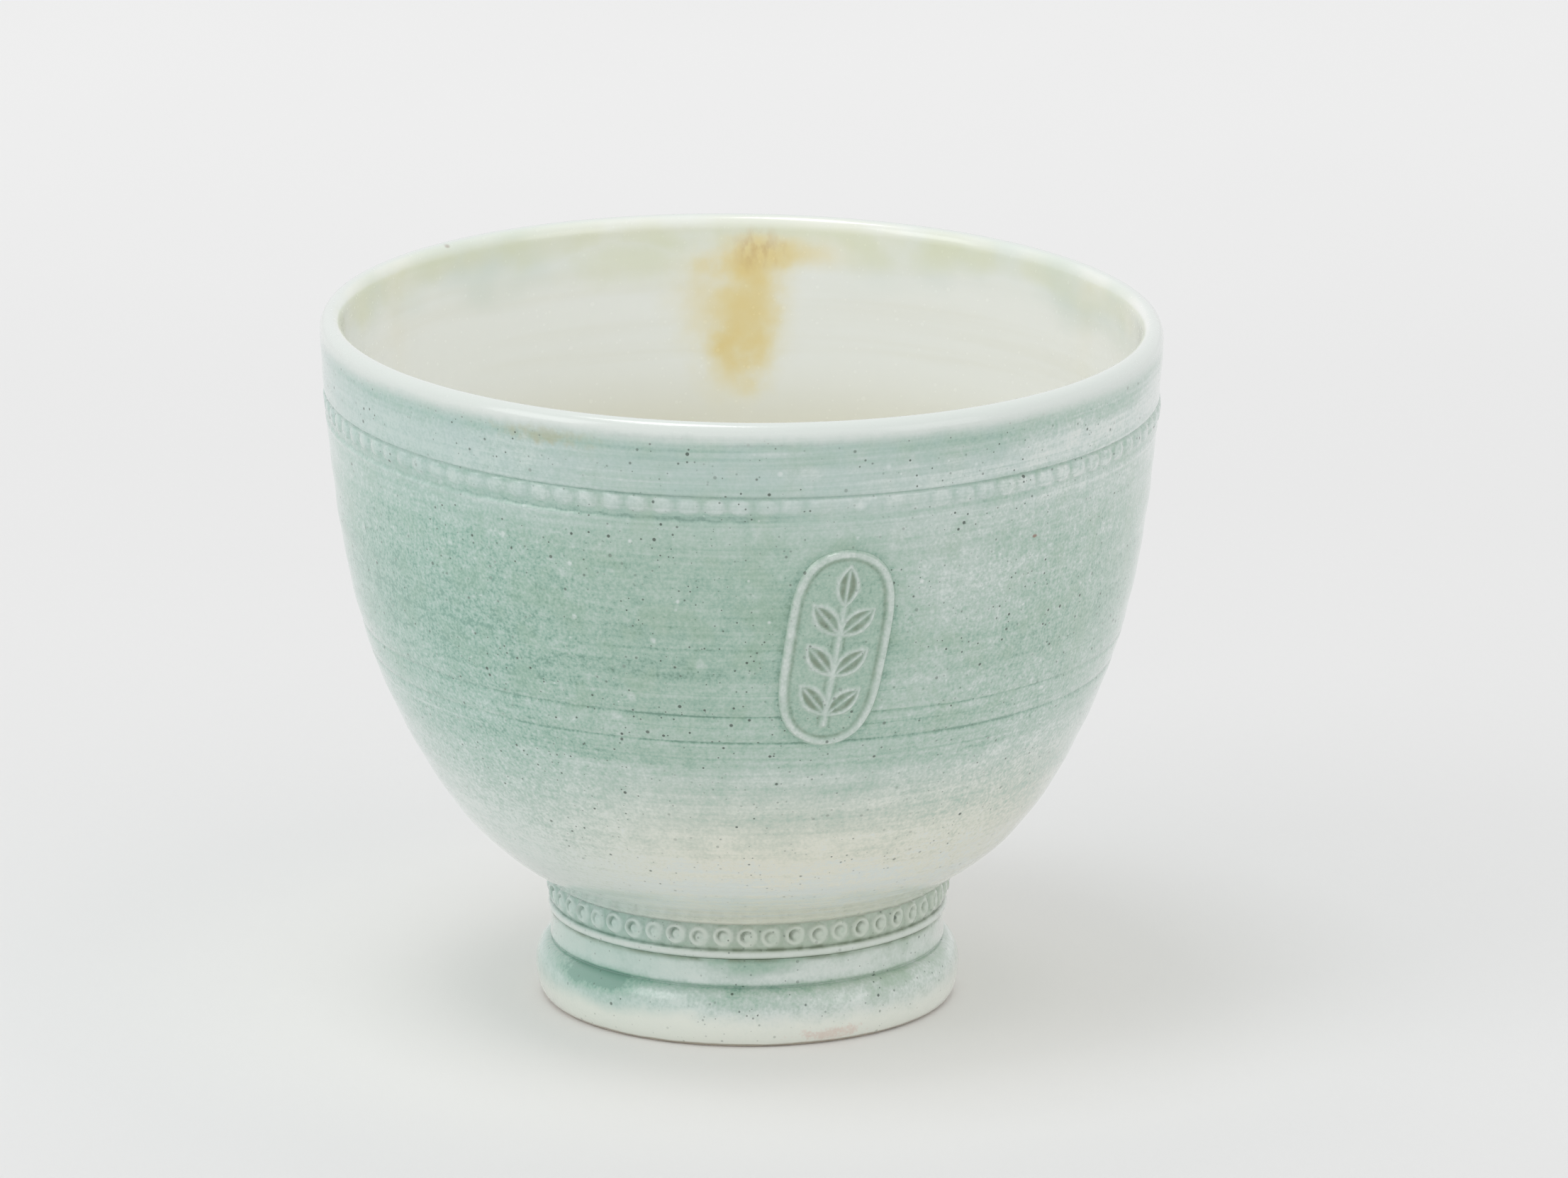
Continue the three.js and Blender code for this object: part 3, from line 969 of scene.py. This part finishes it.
def slip_clay(shades):
    """The fired slip of the joint, matt and bare."""
    clay = Recipe("luting_slip_clay")
    grain, cloud = clay.mottling()
    tone = clay.mix((0.5 + grain * 0.8 + cloud * 0.6) * 0.4, shades.clay, shades.thin)
    clay.cover(tone, 0.65 + cloud * 0.2)
    clay.bump((grain, 0.08 * MM), (cloud, 0.15 * MM))
    return clay.material


def bowl_outline(sizes):
    """The bowl's outline from the middle of its underside round to the middle of its floor."""
    outside, inside = bowl_walls(sizes)
    underside = BOWL_LOW.z
    band_low, band_high = sizes.band_lines
    zones = [(underside, underside + 4.5 * MM, 0.4 * MM)]
    zones += [(line - 0.5 * MM, line + 0.5 * MM, 0.17 * MM) for line in sizes.belly_lines]
    zones += [(band_low - 1.2 * MM, band_high + 0.9 * MM, 0.3 * MM)]
    heights = row_heights(underside, sizes.lip_height, BOWL_SPACING, zones)
    wall = points(np.interp(heights, outside[:, 1], outside[:, 0]), heights)
    base = points(np.arange(0, sizes.seat_radius - MM, UNDERSIDE_SPACING), underside)
    half = sizes.lip_thickness / 2
    lip_middle = (sizes.rim_radius - half, sizes.lip_height)
    lip = arc(lip_middle, (half, sizes.lip_rounding), 0, 180, 14)
    down = even_points(inside[::-1], INSIDE_SPACING)
    return np.concatenate([base, wall, lip[1:-1], down])


def bowl_relief(heading, height, sizes):
    """How far the outside wall stands out, and how much the glaze pools or thins there."""
    pitch = math.tau * sizes.rim_radius / sizes.bead_count
    along = (heading * sizes.rim_radius / pitch + 0.5) % 1 - 0.5
    lower_line, upper_line = sizes.band_lines
    bead_middle = upper_line - BEAD_DEPTH
    across = along * pitch / BEAD_HALF_WIDTH
    dome = 1 - across**2 - ((height - bead_middle) / BEAD_HALF_HEIGHT) ** 2
    dome = np.sqrt(np.clip(dome, 0, 1))
    degrees = np.degrees(heading)

    # Some beads are pressed fainter, some split, and the glaze lies between the others
    pressed = 1 - 0.75 * ridge(degrees, 17, 13) - 0.3 * ridge(degrees, -38, 12)
    split = ridge(along, 0, 0.1) * smooth(degrees, 22, 35)
    between = smooth(np.abs(along), 0.3, 0.5)
    between = between * smooth(height, bead_middle - 0.3 * MM, upper_line - 0.2 * MM)
    in_band = smooth(height, lower_line - 0.1 * MM, lower_line + 0.3 * MM)
    in_band = in_band * (1 - smooth(height, upper_line - 0.2 * MM, upper_line))

    # The lower line is scalloped by the beads and fades to the right of the front
    upper = ridge(height, upper_line, 0.15 * MM)
    scallop = 0.18 * MM * np.abs(np.sin(math.pi * (along + 0.5)))
    lower = ridge(height, lower_line - scallop, 0.22 * MM) * (1 - 0.8 * smooth(degrees, -3, 12))
    shaded = ridge(height, lower_line + 0.35 * MM, 0.45 * MM)
    edge = ridge(height, lower_line - 0.6 * MM, 0.24 * MM)
    edge = edge * (0.25 + 0.75 * smooth(-degrees, 5, 35) + 0.4 * smooth(degrees, 5, 25))
    first_belly, second_belly = (ridge(height, line, 0.2 * MM) for line in sizes.belly_lines)
    belly = first_belly + 0.8 * second_belly

    # Throwing rings all the way up, and a tighter spiral near the foot
    turns = heading / math.tau
    spiral = np.sin(math.tau * (height / (1.1 * MM) - turns))
    near_foot = 1 - smooth(height, BOWL_LOW.z + 2 * MM, BOWL_LOW.z + 5 * MM)
    throwing = 0.035 * np.sin(math.tau * (height / (5.2 * MM) + turns))
    throwing += 0.025 * np.sin(math.tau * (height / (8.7 * MM) - turns) + 1.3)
    out = (
        sizes.bead_relief * pressed * (dome - 0.25 * in_band)
        - sizes.line_depth * (upper + 0.6 * lower + 0.55 * belly)
        + 0.1 * MM * edge
        + 0.05 * MM * spiral * near_foot
        + throwing * MM
    )
    pool = (
        pressed * (0.34 * in_band * (1 - dome) ** 2 - 0.5 * np.sqrt(dome))
        + in_band * (0.45 * pressed * between + 0.5 * split)
        + 1.15 * upper
        + 0.8 * lower
        + 0.35 * shaded
        - 0.55 * edge
        + 0.5 * belly
        - 0.2 * spiral * near_foot
    )
    return out, pool


def seal_middle(bowl):
    """Height of the seal's middle, and the bowl's radius there."""
    middle = (SEAL_LOW.z + SEAL_HIGH.z) / 2
    return middle, float(outside_radius(middle, bowl))


def seal_to_wall(across, up, sizes, bowl):
    """Heading and height on the bowl's wall of places across and up on the seal."""
    middle, radius = seal_middle(bowl)
    aside = across * math.cos(sizes.lean) + up * math.sin(sizes.lean)
    height = middle + up * math.cos(sizes.lean) - across * math.sin(sizes.lean)
    return sizes.turn + aside / radius, height


def past_seal(heading, height, sizes, bowl):
    """Distance of places on the bowl's wall from the seal's edge, negative inside it."""
    middle, radius = seal_middle(bowl)
    aside = (heading - sizes.turn) * radius
    above = height - middle
    across = aside * math.cos(sizes.lean) - above * math.sin(sizes.lean)
    up = above * math.cos(sizes.lean) + aside * math.sin(sizes.lean)
    return -seal_edge(across, up, sizes)


def seal_edge(across, up, sizes):
    """Distance in from the oval's edge, and negative outside it."""
    half_width = sizes.width / 2
    half_height = sizes.height / 2
    wide = across / half_width
    high = up / half_height
    slope = np.hypot(2 * wide / half_width, 4 * high**3 / half_height)
    return (1 - wide**2 - high**4) / np.maximum(slope, 1 / sizes.width)


class CUP_OT_bowl(bpy.types.Operator):
    """Turn the bowl, press its beads and lines, and glaze it"""

    bl_idname = "cup.bowl"
    bl_label = "Bowl"

    def execute(self, context):
        scene = context.scene
        sizes = scene.cup_bowl
        bowl = spin_outline("bowl_body", bowl_outline(sizes), BOWL_COLUMNS)
        band_low, band_high = sizes.band_lines

        def in_band(places):
            radius, _, height = round_places(places)
            outer = radius > sizes.rim_radius - sizes.lip_thickness / 2 - MM
            return outer & (height > band_low - 1.1 * MM) & (height < band_high + 0.6 * MM)

        def round_seal(places):
            radius, heading, height = round_places(places)
            outer = radius > outside_radius(height, sizes) - MM
            near = np.abs(past_seal(heading, height, scene.cup_seal, sizes)) < 1.8 * MM
            return outer & near & (np.abs(heading) < 1)

        refine(bowl, in_band, 1)
        refine(bowl, round_seal, 2)
        places = places_of(bowl)
        radius, heading, height = round_places(places)
        outer = radius > outside_radius(height, sizes) - 0.8 * MM
        outer &= height > BOWL_LOW.z + 0.01 * MM
        outer &= height < sizes.lip_height + 0.01 * MM
        out, pool = bowl_relief(heading, height, sizes)
        out = np.where(outer, out * (1 - smooth(height, sizes.lip_height - 2 * MM, sizes.lip_height)), 0)

        # The seal was pressed into soft clay, so that the wall sinks and the glaze pools round it
        from_seal = past_seal(heading, height, scene.cup_seal, sizes)
        halo = outer & (np.abs(heading) < 1)
        pool = pool + np.where(halo, 0.4 * ridge(from_seal, 0.1 * MM, 0.5 * MM), 0)
        out = out - np.where(halo, 0.06 * MM * ridge(from_seal, 0.3 * MM, 0.5 * MM), 0)
        uneven = 0.1 * MM * np.cos(2 * heading + 0.7) * smooth(height, 30 * MM, 80 * MM)
        shape_by_hand(bowl, pushed_out(places, out + uneven), scene.cup_hand)

        half = sizes.lip_thickness / 2
        past_lip = smooth(sizes.rim_radius - radius, half, half + 0.9 * MM)
        mark(bowl, "height", height / MM)
        mark(bowl, "pool", np.where(outer, pool, 0))
        mark(bowl, "inside", np.where(outer | (height < BOWL_LOW.z + 0.1 * MM), 0, past_lip))
        finish_piece(bowl, BowlGlaze(scene.cup_glaze).finished(), "bowl")
        return {"FINISHED"}


def leaf_form(across, up, root, slope, sizes):
    """A leaf's raised outline and midrib, and the glaze pooled between them, from 0 to 1."""
    turned = math.radians(slope)
    along = across * math.cos(turned) + (up - root) * math.sin(turned)
    aside = (up - root) * math.cos(turned) - across * math.sin(turned)
    half_length = sizes.leaf_length / 2
    share = (along - half_length) / half_length
    inward = sizes.leaf_width / 2 * (1 - share**2) - np.abs(aside)
    inward = np.where(np.abs(share) < 1.08, inward, -MM)
    outline = ridge(inward, 0.12 * MM, 0.3 * MM)
    inner = smooth(inward, 0.2 * MM, 0.6 * MM)
    midrib = ridge(aside, 0, 0.2 * MM) * smooth(0.9 - share, 0, 0.2)
    fill = smooth(inward, -0.1 * MM, 0.3 * MM)
    raised = np.maximum(outline, 0.85 * midrib * fill)
    return np.maximum(raised, 0.3 * fill), inner * (1 - midrib) ** 2


def seal_relief(across, up, sizes):
    """Height of the seal's border and sprig over its ground, and its dark pools, from 0 to 1."""
    from_edge = seal_edge(across, up, sizes)
    border = smooth(from_edge, -0.05 * MM, 0.45 * MM) * (1 - smooth(from_edge, 0.75 * MM, 1.45 * MM))
    stem_foot = STEM_FOOT_GAP - sizes.height / 2
    stem_tip = sizes.height / 2 - STEM_TIP_GAP - sizes.leaf_length
    on_stem = smooth(up - stem_foot, -0.3 * MM, 0.2 * MM) * smooth(stem_tip - up, -0.2 * MM, 0.2 * MM)
    stem = ridge(across, 0, 0.36 * MM) * on_stem
    relief = np.maximum(border, stem)
    beside_border = 0.45 * ridge(from_edge, 1.45 * MM, 0.3 * MM)
    beside_stem = 0.35 * ridge(np.abs(across), 0.68 * MM, 0.2 * MM) * on_stem
    pools = np.maximum(beside_border, beside_stem)
    spacing = (stem_tip - stem_foot) / sizes.leaf_pairs
    roots = [stem_foot + spacing * (pair + 0.3) for pair in range(sizes.leaf_pairs)]
    leaves = [leaf_form(across, up, stem_tip, 90, sizes)]
    leaves += [leaf_form(np.abs(across), up, root, 45, sizes) for root in roots]
    for raised, pooled in leaves:
        relief = np.maximum(relief, raised)
        pools = np.maximum(pools * (1 - np.clip(1.6 * raised, 0, 1)), 0.8 * pooled)
    return relief, pools * (1 - stem)


class CUP_OT_seal(bpy.types.Operator):
    """Press the oval seal with its leaf sprig onto the wall"""

    bl_idname = "cup.seal"
    bl_label = "Seal"

    def execute(self, context):
        sizes = context.scene.cup_seal
        bowl = context.scene.cup_bowl
        deselect_all()
        bpy.ops.mesh.primitive_grid_add(
            x_subdivisions=SEAL_COLUMNS, y_subdivisions=SEAL_ROWS, size=2, location=(0, 0, 0)
        )
        seal = bpy.context.object
        seal.name = "oval_seal_sprig"
        bpy.ops.object.mode_set(mode="EDIT")
        bpy.ops.mesh.select_all(action="SELECT")
        bpy.ops.mesh.extrude_region_move(TRANSFORM_OT_translate={"value": (0, 0, 1)})
        bpy.ops.object.mode_set(mode="OBJECT")

        # The square grid becomes an oval, whose back sinks a little into the wall
        column, row, front = places_of(seal).T
        rise = 0.998 * np.sin(row * math.pi / 2)
        across = column * sizes.width / 2 * np.sqrt(1 - rise**4)
        up = rise * sizes.height / 2
        from_edge = np.maximum(seal_edge(across, up, sizes), 0)
        rounding = np.sqrt(1 - (1 - np.clip(from_edge / SEAL_ROUNDING, 0, 1)) ** 2)
        relief, pools = seal_relief(across, up, sizes)
        face = sizes.pad * rounding + sizes.relief * relief * rounding
        heading, height = seal_to_wall(across, up, sizes, bowl)
        radius = outside_radius(height, bowl) + np.where(front > 0.5, face, -SEAL_SINKING)
        places = np.stack([radius * np.sin(heading), -radius * np.cos(heading), height], axis=1)
        shape_by_hand(seal, places, context.scene.cup_hand)
        bpy.ops.object.mode_set(mode="EDIT")
        close_up()
        bpy.ops.object.mode_set(mode="OBJECT")
        mark(seal, "pool", 0.2 - relief + 0.4 * pools)
        mark(seal, "line", 0.98 * pools)
        mark(seal, "bare", np.zeros(len(places)))
        material = piece_glaze("seal_celadon", context.scene.cup_glaze, 0.66, 0.1)
        finish_piece(seal, material, "oval_seal")
        return {"FINISHED"}


def collar_outline(sizes, neck_radius):
    """The collar's outline, with its fillet below the flat band that takes the beads."""
    low, high = COLLAR_LOW.z, COLLAR_HIGH.z
    bore = neck_radius - sizes.thickness
    fillet_top = low + sizes.fillet_width
    fillet_middle = (neck_radius - 0.1 * MM, (low + fillet_top) / 2)
    fillet_reach = (sizes.fillet_relief + 0.1 * MM, sizes.fillet_width / 2)
    return np.concatenate(
        [
            [(bore, low), (neck_radius - MM, low)],
            arc(fillet_middle, fillet_reach, -90, 90, 10),
            [(neck_radius - 0.12 * MM, fillet_top + 0.03 * MM)],
            points(neck_radius, np.arange(fillet_top + 0.12 * MM, high, BAND_SPACING)),
            [(neck_radius, high), (bore, high), (bore, (low + high) / 2), (bore, low)],
        ]
    )


class CUP_OT_collar(bpy.types.Operator):
    """Roll the beaded collar round the joint"""

    bl_idname = "cup.collar"
    bl_label = "Beaded collar"

    def execute(self, context):
        sizes = context.scene.cup_collar
        neck_radius = context.scene.cup_foot.neck_radius
        low, high = COLLAR_LOW.z, COLLAR_HIGH.z
        fillet_top = low + sizes.fillet_width
        outline = collar_outline(sizes, neck_radius)
        collar = spin_outline("rolled_collar", outline, sizes.bead_count * COLUMNS_PER_BEAD)
        places = places_of(collar)
        radius, heading, height = round_places(places)

        # Each bead is stamped by hand, a little out of its place and harder or softer
        phase = heading * sizes.bead_count / math.tau
        number = np.floor(phase + 0.5)
        pitch = math.tau * neck_radius / sizes.bead_count
        aside = (phase - number) * pitch + 0.05 * MM * np.sin(1.7 * number)
        above = height - (fillet_top + high) / 2 + 0.07 * MM * np.sin(2.4 * number)
        pressed = 1 + 0.25 * np.sin(3.9 * number + 1)
        distance = np.hypot(aside, above)

        # The stamp's ring and the crescent inside it are deepest on their left
        leftness = 0.5 - 0.5 * (aside - 0.5 * above) / np.maximum(1.1 * distance, 0.05 * MM)
        leftness = np.clip(leftness, 0, 1)
        ring = ridge(distance, sizes.bead_radius, 0.3 * MM) * (0.4 + 0.6 * leftness) * pressed
        crescent = ridge(distance, 0.62 * sizes.bead_radius, 0.18 * MM) * leftness**1.5 * pressed
        mound = 0.8 * (1 - smooth(distance, 0.7 * MM, 1.25 * MM))
        bead = np.maximum(ring, mound) - 0.75 * crescent
        outer = radius > neck_radius - 0.2 * MM
        on_band = outer & (height > fillet_top + 0.05 * MM)
        out = np.where(on_band, sizes.bead_relief * bead, 0) * (1 - smooth(height, high - 0.3 * MM, high))
        shape_by_hand(collar, pushed_out(places, out), context.scene.cup_hand)

        low_line = ridge(height, fillet_top + 0.05 * MM, 0.26 * MM)
        # The fillet's underside is darkened as painted shadow, over glaze pooled in the joint
        under = ridge(height, low, 0.18 * MM)
        hollow = np.clip(1 - 1.2 * ring - 0.9 * mound, 0, 1)
        pool = 0.5 * hollow - (ring + 0.5 * mound) + 0.3 * crescent
        dark = np.clip(1.2 * crescent + 0.26 * hollow + 0.8 * low_line, 0, 0.85)
        fillet_lines_and_shadow = 0.8 * np.maximum(under, low_line) * outer
        drawn_off = 0.8 * (1 - under) * (1 - low_line)
        mark(collar, "pool", np.where(on_band, pool, 0))
        mark(collar, "line", np.where(on_band, dark, fillet_lines_and_shadow))
        mark(collar, "bare", np.where(outer & ~on_band, drawn_off, 0))
        material = piece_glaze("collar_celadon", context.scene.cup_glaze, 0.3, 0.5)
        finish_piece(collar, material, "beaded_collar")
        return {"FINISHED"}


def foot_outline(sizes):
    """The foot's outline, from its rest up over the roll and the neck, and down its recess."""
    shoulder, top = COLLAR_LOW.z, FOOT_HIGH.z
    rest, waist = sizes.rest_radius, sizes.waist_height
    rest_edge = rest - sizes.rest_width
    rounding = 0.7 * MM
    line_radius = sizes.neck_radius - sizes.line_depth
    over_roll = (sizes.roll_radius - line_radius, sizes.roll_top - waist)
    neck_heights = np.linspace(sizes.roll_top + 0.4 * MM, shoulder, 16)
    neck_share = (neck_heights - neck_heights[0]) / (shoulder - neck_heights[0])
    neck_radii = sizes.neck_radius - sizes.neck_hollow * 4 * neck_share * (1 - neck_share)
    recess_top = (sizes.recess_radius, top)
    recess_foot = (rest_edge, rounding)
    recess = wall_curve(
        recess_top, math.radians(-86), recess_foot, math.radians(-74), RECESS_LEADS, 14
    )
    return np.concatenate(
        [
            [(rest_edge + rounding, 0), (rest - MM, 0)],
            arc((rest, waist), (sizes.rest_undercut, waist), -90, 0, 18),
            arc((line_radius, waist), over_roll, 0, 90, 22)[1:],
            [(line_radius + 0.03 * MM, sizes.roll_top + 0.12 * MM)],
            points(neck_radii, neck_heights),
            [(sizes.core_radius, shoulder), (sizes.core_radius, top)],
            recess,
            arc((rest_edge + rounding, rounding), (rounding, rounding), 190, 270, 5),
        ]
    )


class CUP_OT_foot(bpy.types.Operator):
    """Turn the foot ring with its roll, line and neck"""

    bl_idname = "cup.foot"
    bl_label = "Foot ring"

    def execute(self, context):
        sizes = context.scene.cup_foot
        foot = spin_outline("turned_foot", foot_outline(sizes), FOOT_COLUMNS)
        places = places_of(foot)
        radius, heading, height = round_places(places)
        outer = radius > sizes.neck_radius - 0.5 * MM
        uneven = 0.06 * MM * np.sin(3 * heading + 0.4) + 0.04 * MM * np.sin(5 * heading + 2)
        uneven = np.where(outer, uneven * smooth(height, 0.5 * MM, 3 * MM), 0)
        shape_by_hand(foot, pushed_out(places, uneven), context.scene.cup_hand)
        line = ridge(height, sizes.roll_top + 0.1 * MM, 0.42 * MM)
        # Under the collar the glaze pools in the joint, and the line there is deepened as painted shadow
        # cast by the fillet
        pool_and_shadow_under_collar = ridge(height, COLLAR_LOW.z, 0.45 * MM)
        mark(foot, "height", height / MM)
        mark(foot, "pool", np.where(outer, 0.8 * line + 0.7 * pool_and_shadow_under_collar, 0))
        mark(foot, "line", np.where(outer, 0.85 * ridge(height, COLLAR_LOW.z, 0.4 * MM), 0))
        finish_piece(foot, foot_glaze(context.scene.cup_glaze), "foot_ring")
        return {"FINISHED"}


class CUP_OT_slip(bpy.types.Operator):
    """Squeeze the slip into the joint between the foot and the bowl"""

    bl_idname = "cup.slip"
    bl_label = "Luting slip"

    def execute(self, context):
        low, high = SLIP_LOW.z, SLIP_HIGH.z
        half = (high - low) / 2
        inner_middle = (context.scene.cup_foot.recess_radius + 0.2 * MM + half, low + half)
        outer_middle = (SLIP_HIGH.x - half, low + half)
        outline = np.concatenate(
            [
                [(inner_middle[0], low)],
                arc(outer_middle, (half, half), -90, 90, 6),
                arc(inner_middle, (half, half), 90, 270, 6),
            ]
        )
        slip = spin_outline("squeezed_slip", outline, SLIP_COLUMNS)
        places = places_of(slip)
        radius, heading, _ = round_places(places)
        squeezed = 0.12 * MM * np.sin(7 * heading) + 0.08 * MM * np.sin(13 * heading + 1)
        squeezed = np.where(radius < inner_middle[0], squeezed, 0)
        shape_by_hand(slip, pushed_out(places, squeezed), context.scene.cup_hand)
        finish_piece(slip, slip_clay(context.scene.cup_glaze), "luting_slip")
        return {"FINISHED"}


def floor_material(stage, hidden_middle, hidden_radius):
    """Plain pale paper, painted lighter and a little warmer round the cup to lift the shadow there; from
    below it is clear.

    It is clear too where the foot ring hides it, so that light reaches the cup's underside.
    """
    paper = Recipe("pale_floor")
    cloud = paper.waver(60 * MM)
    # Painted light round the cup lifts the floor's shadow there; the floor also grows lighter towards the
    # back and a little darker in front
    near = hypotenuse(paper.x, paper.y).rise(88 * MM, 32 * MM)
    far = paper.y.rise(200 * MM, 500 * MM, 0, 0.08)
    in_front = paper.y.rise(-30 * MM, -90 * MM, 0, -0.03)
    level = near * 0.1 + far + in_front + cloud * 0.012 + 1
    channels = {0: level + near * 0.012, 1: level, 2: level + near * -0.02}
    shade = paper.signal("ShaderNodeCombineColor", channels)
    tone = paper.mix(1, shade, stage.floor_colour, "MULTIPLY")
    paper.cover(tone, 0.85 + cloud * 0.1, Specular_IOR_Level=0.1)
    paper.bump((paper.noise(0.4 * MM, 3), 0.02 * MM))
    below = paper.signal("ShaderNodeNewGeometry", {}, "Backfacing")
    from_foot = hypotenuse(paper.x - hidden_middle, paper.y)
    unseen = below.math("MAXIMUM", from_foot.math("LESS_THAN", hidden_radius))
    clear = paper.signal("ShaderNodeBsdfTransparent", {})
    either = paper.signal("ShaderNodeMixShader", {0: unseen, 1: paper.body, 2: clear})
    paper.feed(paper.surface, either)
    return paper.material


def light_world(stage):
    """An even white sky that lights the cup softly and shows as pale in its gloss."""
    world = bpy.data.worlds.new("studio_sky")
    bpy.context.scene.world = world
    sky = Nodes(world, "ShaderNodeOutputWorld")
    paths = sky.add("ShaderNodeLightPath", {}).outputs
    camera_ray, glossy_ray = (Signal(sky, paths[f"Is {kind} Ray"]) for kind in ("Camera", "Glossy"))
    seen = camera_ray.math("MAXIMUM", glossy_ray)
    lit = sky.signal("ShaderNodeBackground", {"Color": (1, 1, 1, 1), "Strength": stage.sky})
    shown = sky.signal("ShaderNodeBackground", {"Color": stage.shown_colour, "Strength": 1})
    sky.feed(sky.surface, sky.signal("ShaderNodeMixShader", {0: seen, 1: lit, 2: shown}))


# Place, side and power in watts of each square lamp
SOFTBOXES = {
    "overhead_softbox": ((-0.2, -0.1, 1.3), 0.45, 2.4),
    "left_softbox": ((-1.2, -0.7, 1.0), 0.8, 2.4),
    "right_softbox": ((1.3, -0.9, 0.6), 0.8, 1),
}


def softbox(name, place, side, power):
    """A square lamp at a place, turned to the middle of the cup, that the camera doesn't see."""
    deselect_all()
    bpy.ops.object.light_add(type="AREA", location=place)
    lamp = bpy.context.object
    lamp.name = name
    lamp.data.shape = "SQUARE"
    lamp.data.size = side
    lamp.data.energy = power
    lamp.visible_camera = False
    x, y, z = place
    above = z - BOWL_HIGH.z / 2
    lamp.rotation_euler = (math.atan2(math.hypot(x, y), above), 0, math.atan2(x, -y))


class CUP_OT_stage(bpy.types.Operator):
    """Lay the floor, hang the lamps and set up the camera"""

    bl_idname = "cup.stage"
    bl_label = "Stage"

    def execute(self, context):
        stage = context.scene.cup_stage
        deselect_all()

        # The floor lies a hair under the cup, so that the two don't share a plane
        bpy.ops.mesh.primitive_plane_add(size=stage.floor_size, location=(0, 0, -0.01 * MM))
        floor = bpy.context.object
        floor.name = "studio_floor"
        bpy.ops.object.transform_apply(location=True, rotation=True, scale=True)
        hidden_radius = context.scene.cup_foot.rest_radius - 0.2 * MM
        paper = floor_material(stage, context.scene.cup_hand.foot_shift, hidden_radius)
        floor.data.materials.append(paper)
        light_world(stage)
        for name, settings in SOFTBOXES.items():
            softbox(name, *settings)

        bpy.ops.object.camera_add(
            location=(stage.camera_side, -stage.camera_distance, stage.camera_height),
            rotation=(math.pi / 2 - stage.camera_tilt, 0, 0),
        )
        camera = bpy.context.object
        camera.name = "portrait_camera"
        camera.data.lens = stage.lens
        camera.data.sensor_fit = "HORIZONTAL"
        camera.data.clip_start = 50 * MM
        camera.data.clip_end = 20
        context.scene.camera = camera
        context.scene.view_settings.view_transform = "Standard"
        return {"FINISHED"}


OPERATORS = (CUP_OT_foot, CUP_OT_slip, CUP_OT_collar, CUP_OT_bowl, CUP_OT_seal, CUP_OT_stage)


class CUP_PT_sidebar(bpy.types.Panel):
    """Lists the cup's pieces and their sizes"""

    bl_idname = "CUP_PT_sidebar"
    bl_label = "Footed cup"
    bl_space_type = "VIEW_3D"
    bl_region_type = "UI"
    bl_category = "Cup"

    def draw(self, context):
        for operator in OPERATORS:
            self.layout.operator(operator.bl_idname)
        for name, group in SIZE_GROUPS.items():
            box = self.layout.box()
            box.label(text=group.__doc__)
            for size in group.__annotations__:
                box.prop(getattr(context.scene, name), size)


def register():
    for name, group in SIZE_GROUPS.items():
        bpy.utils.register_class(group)
        setattr(bpy.types.Scene, name, PointerProperty(type=group))
    for operator in OPERATORS:
        bpy.utils.register_class(operator)
    bpy.utils.register_class(CUP_PT_sidebar)


def unregister():
    bpy.utils.unregister_class(CUP_PT_sidebar)
    for operator in reversed(OPERATORS):
        bpy.utils.unregister_class(operator)
    for name, group in SIZE_GROUPS.items():
        delattr(bpy.types.Scene, name)
        bpy.utils.unregister_class(group)


def main():
    """Makes the whole cup and its stage."""
    register()
    bpy.ops.cup.foot()
    bpy.ops.cup.slip()
    bpy.ops.cup.collar()
    bpy.ops.cup.bowl()
    bpy.ops.cup.seal()
    bpy.ops.cup.stage()


if __name__ == "__main__":
    main()
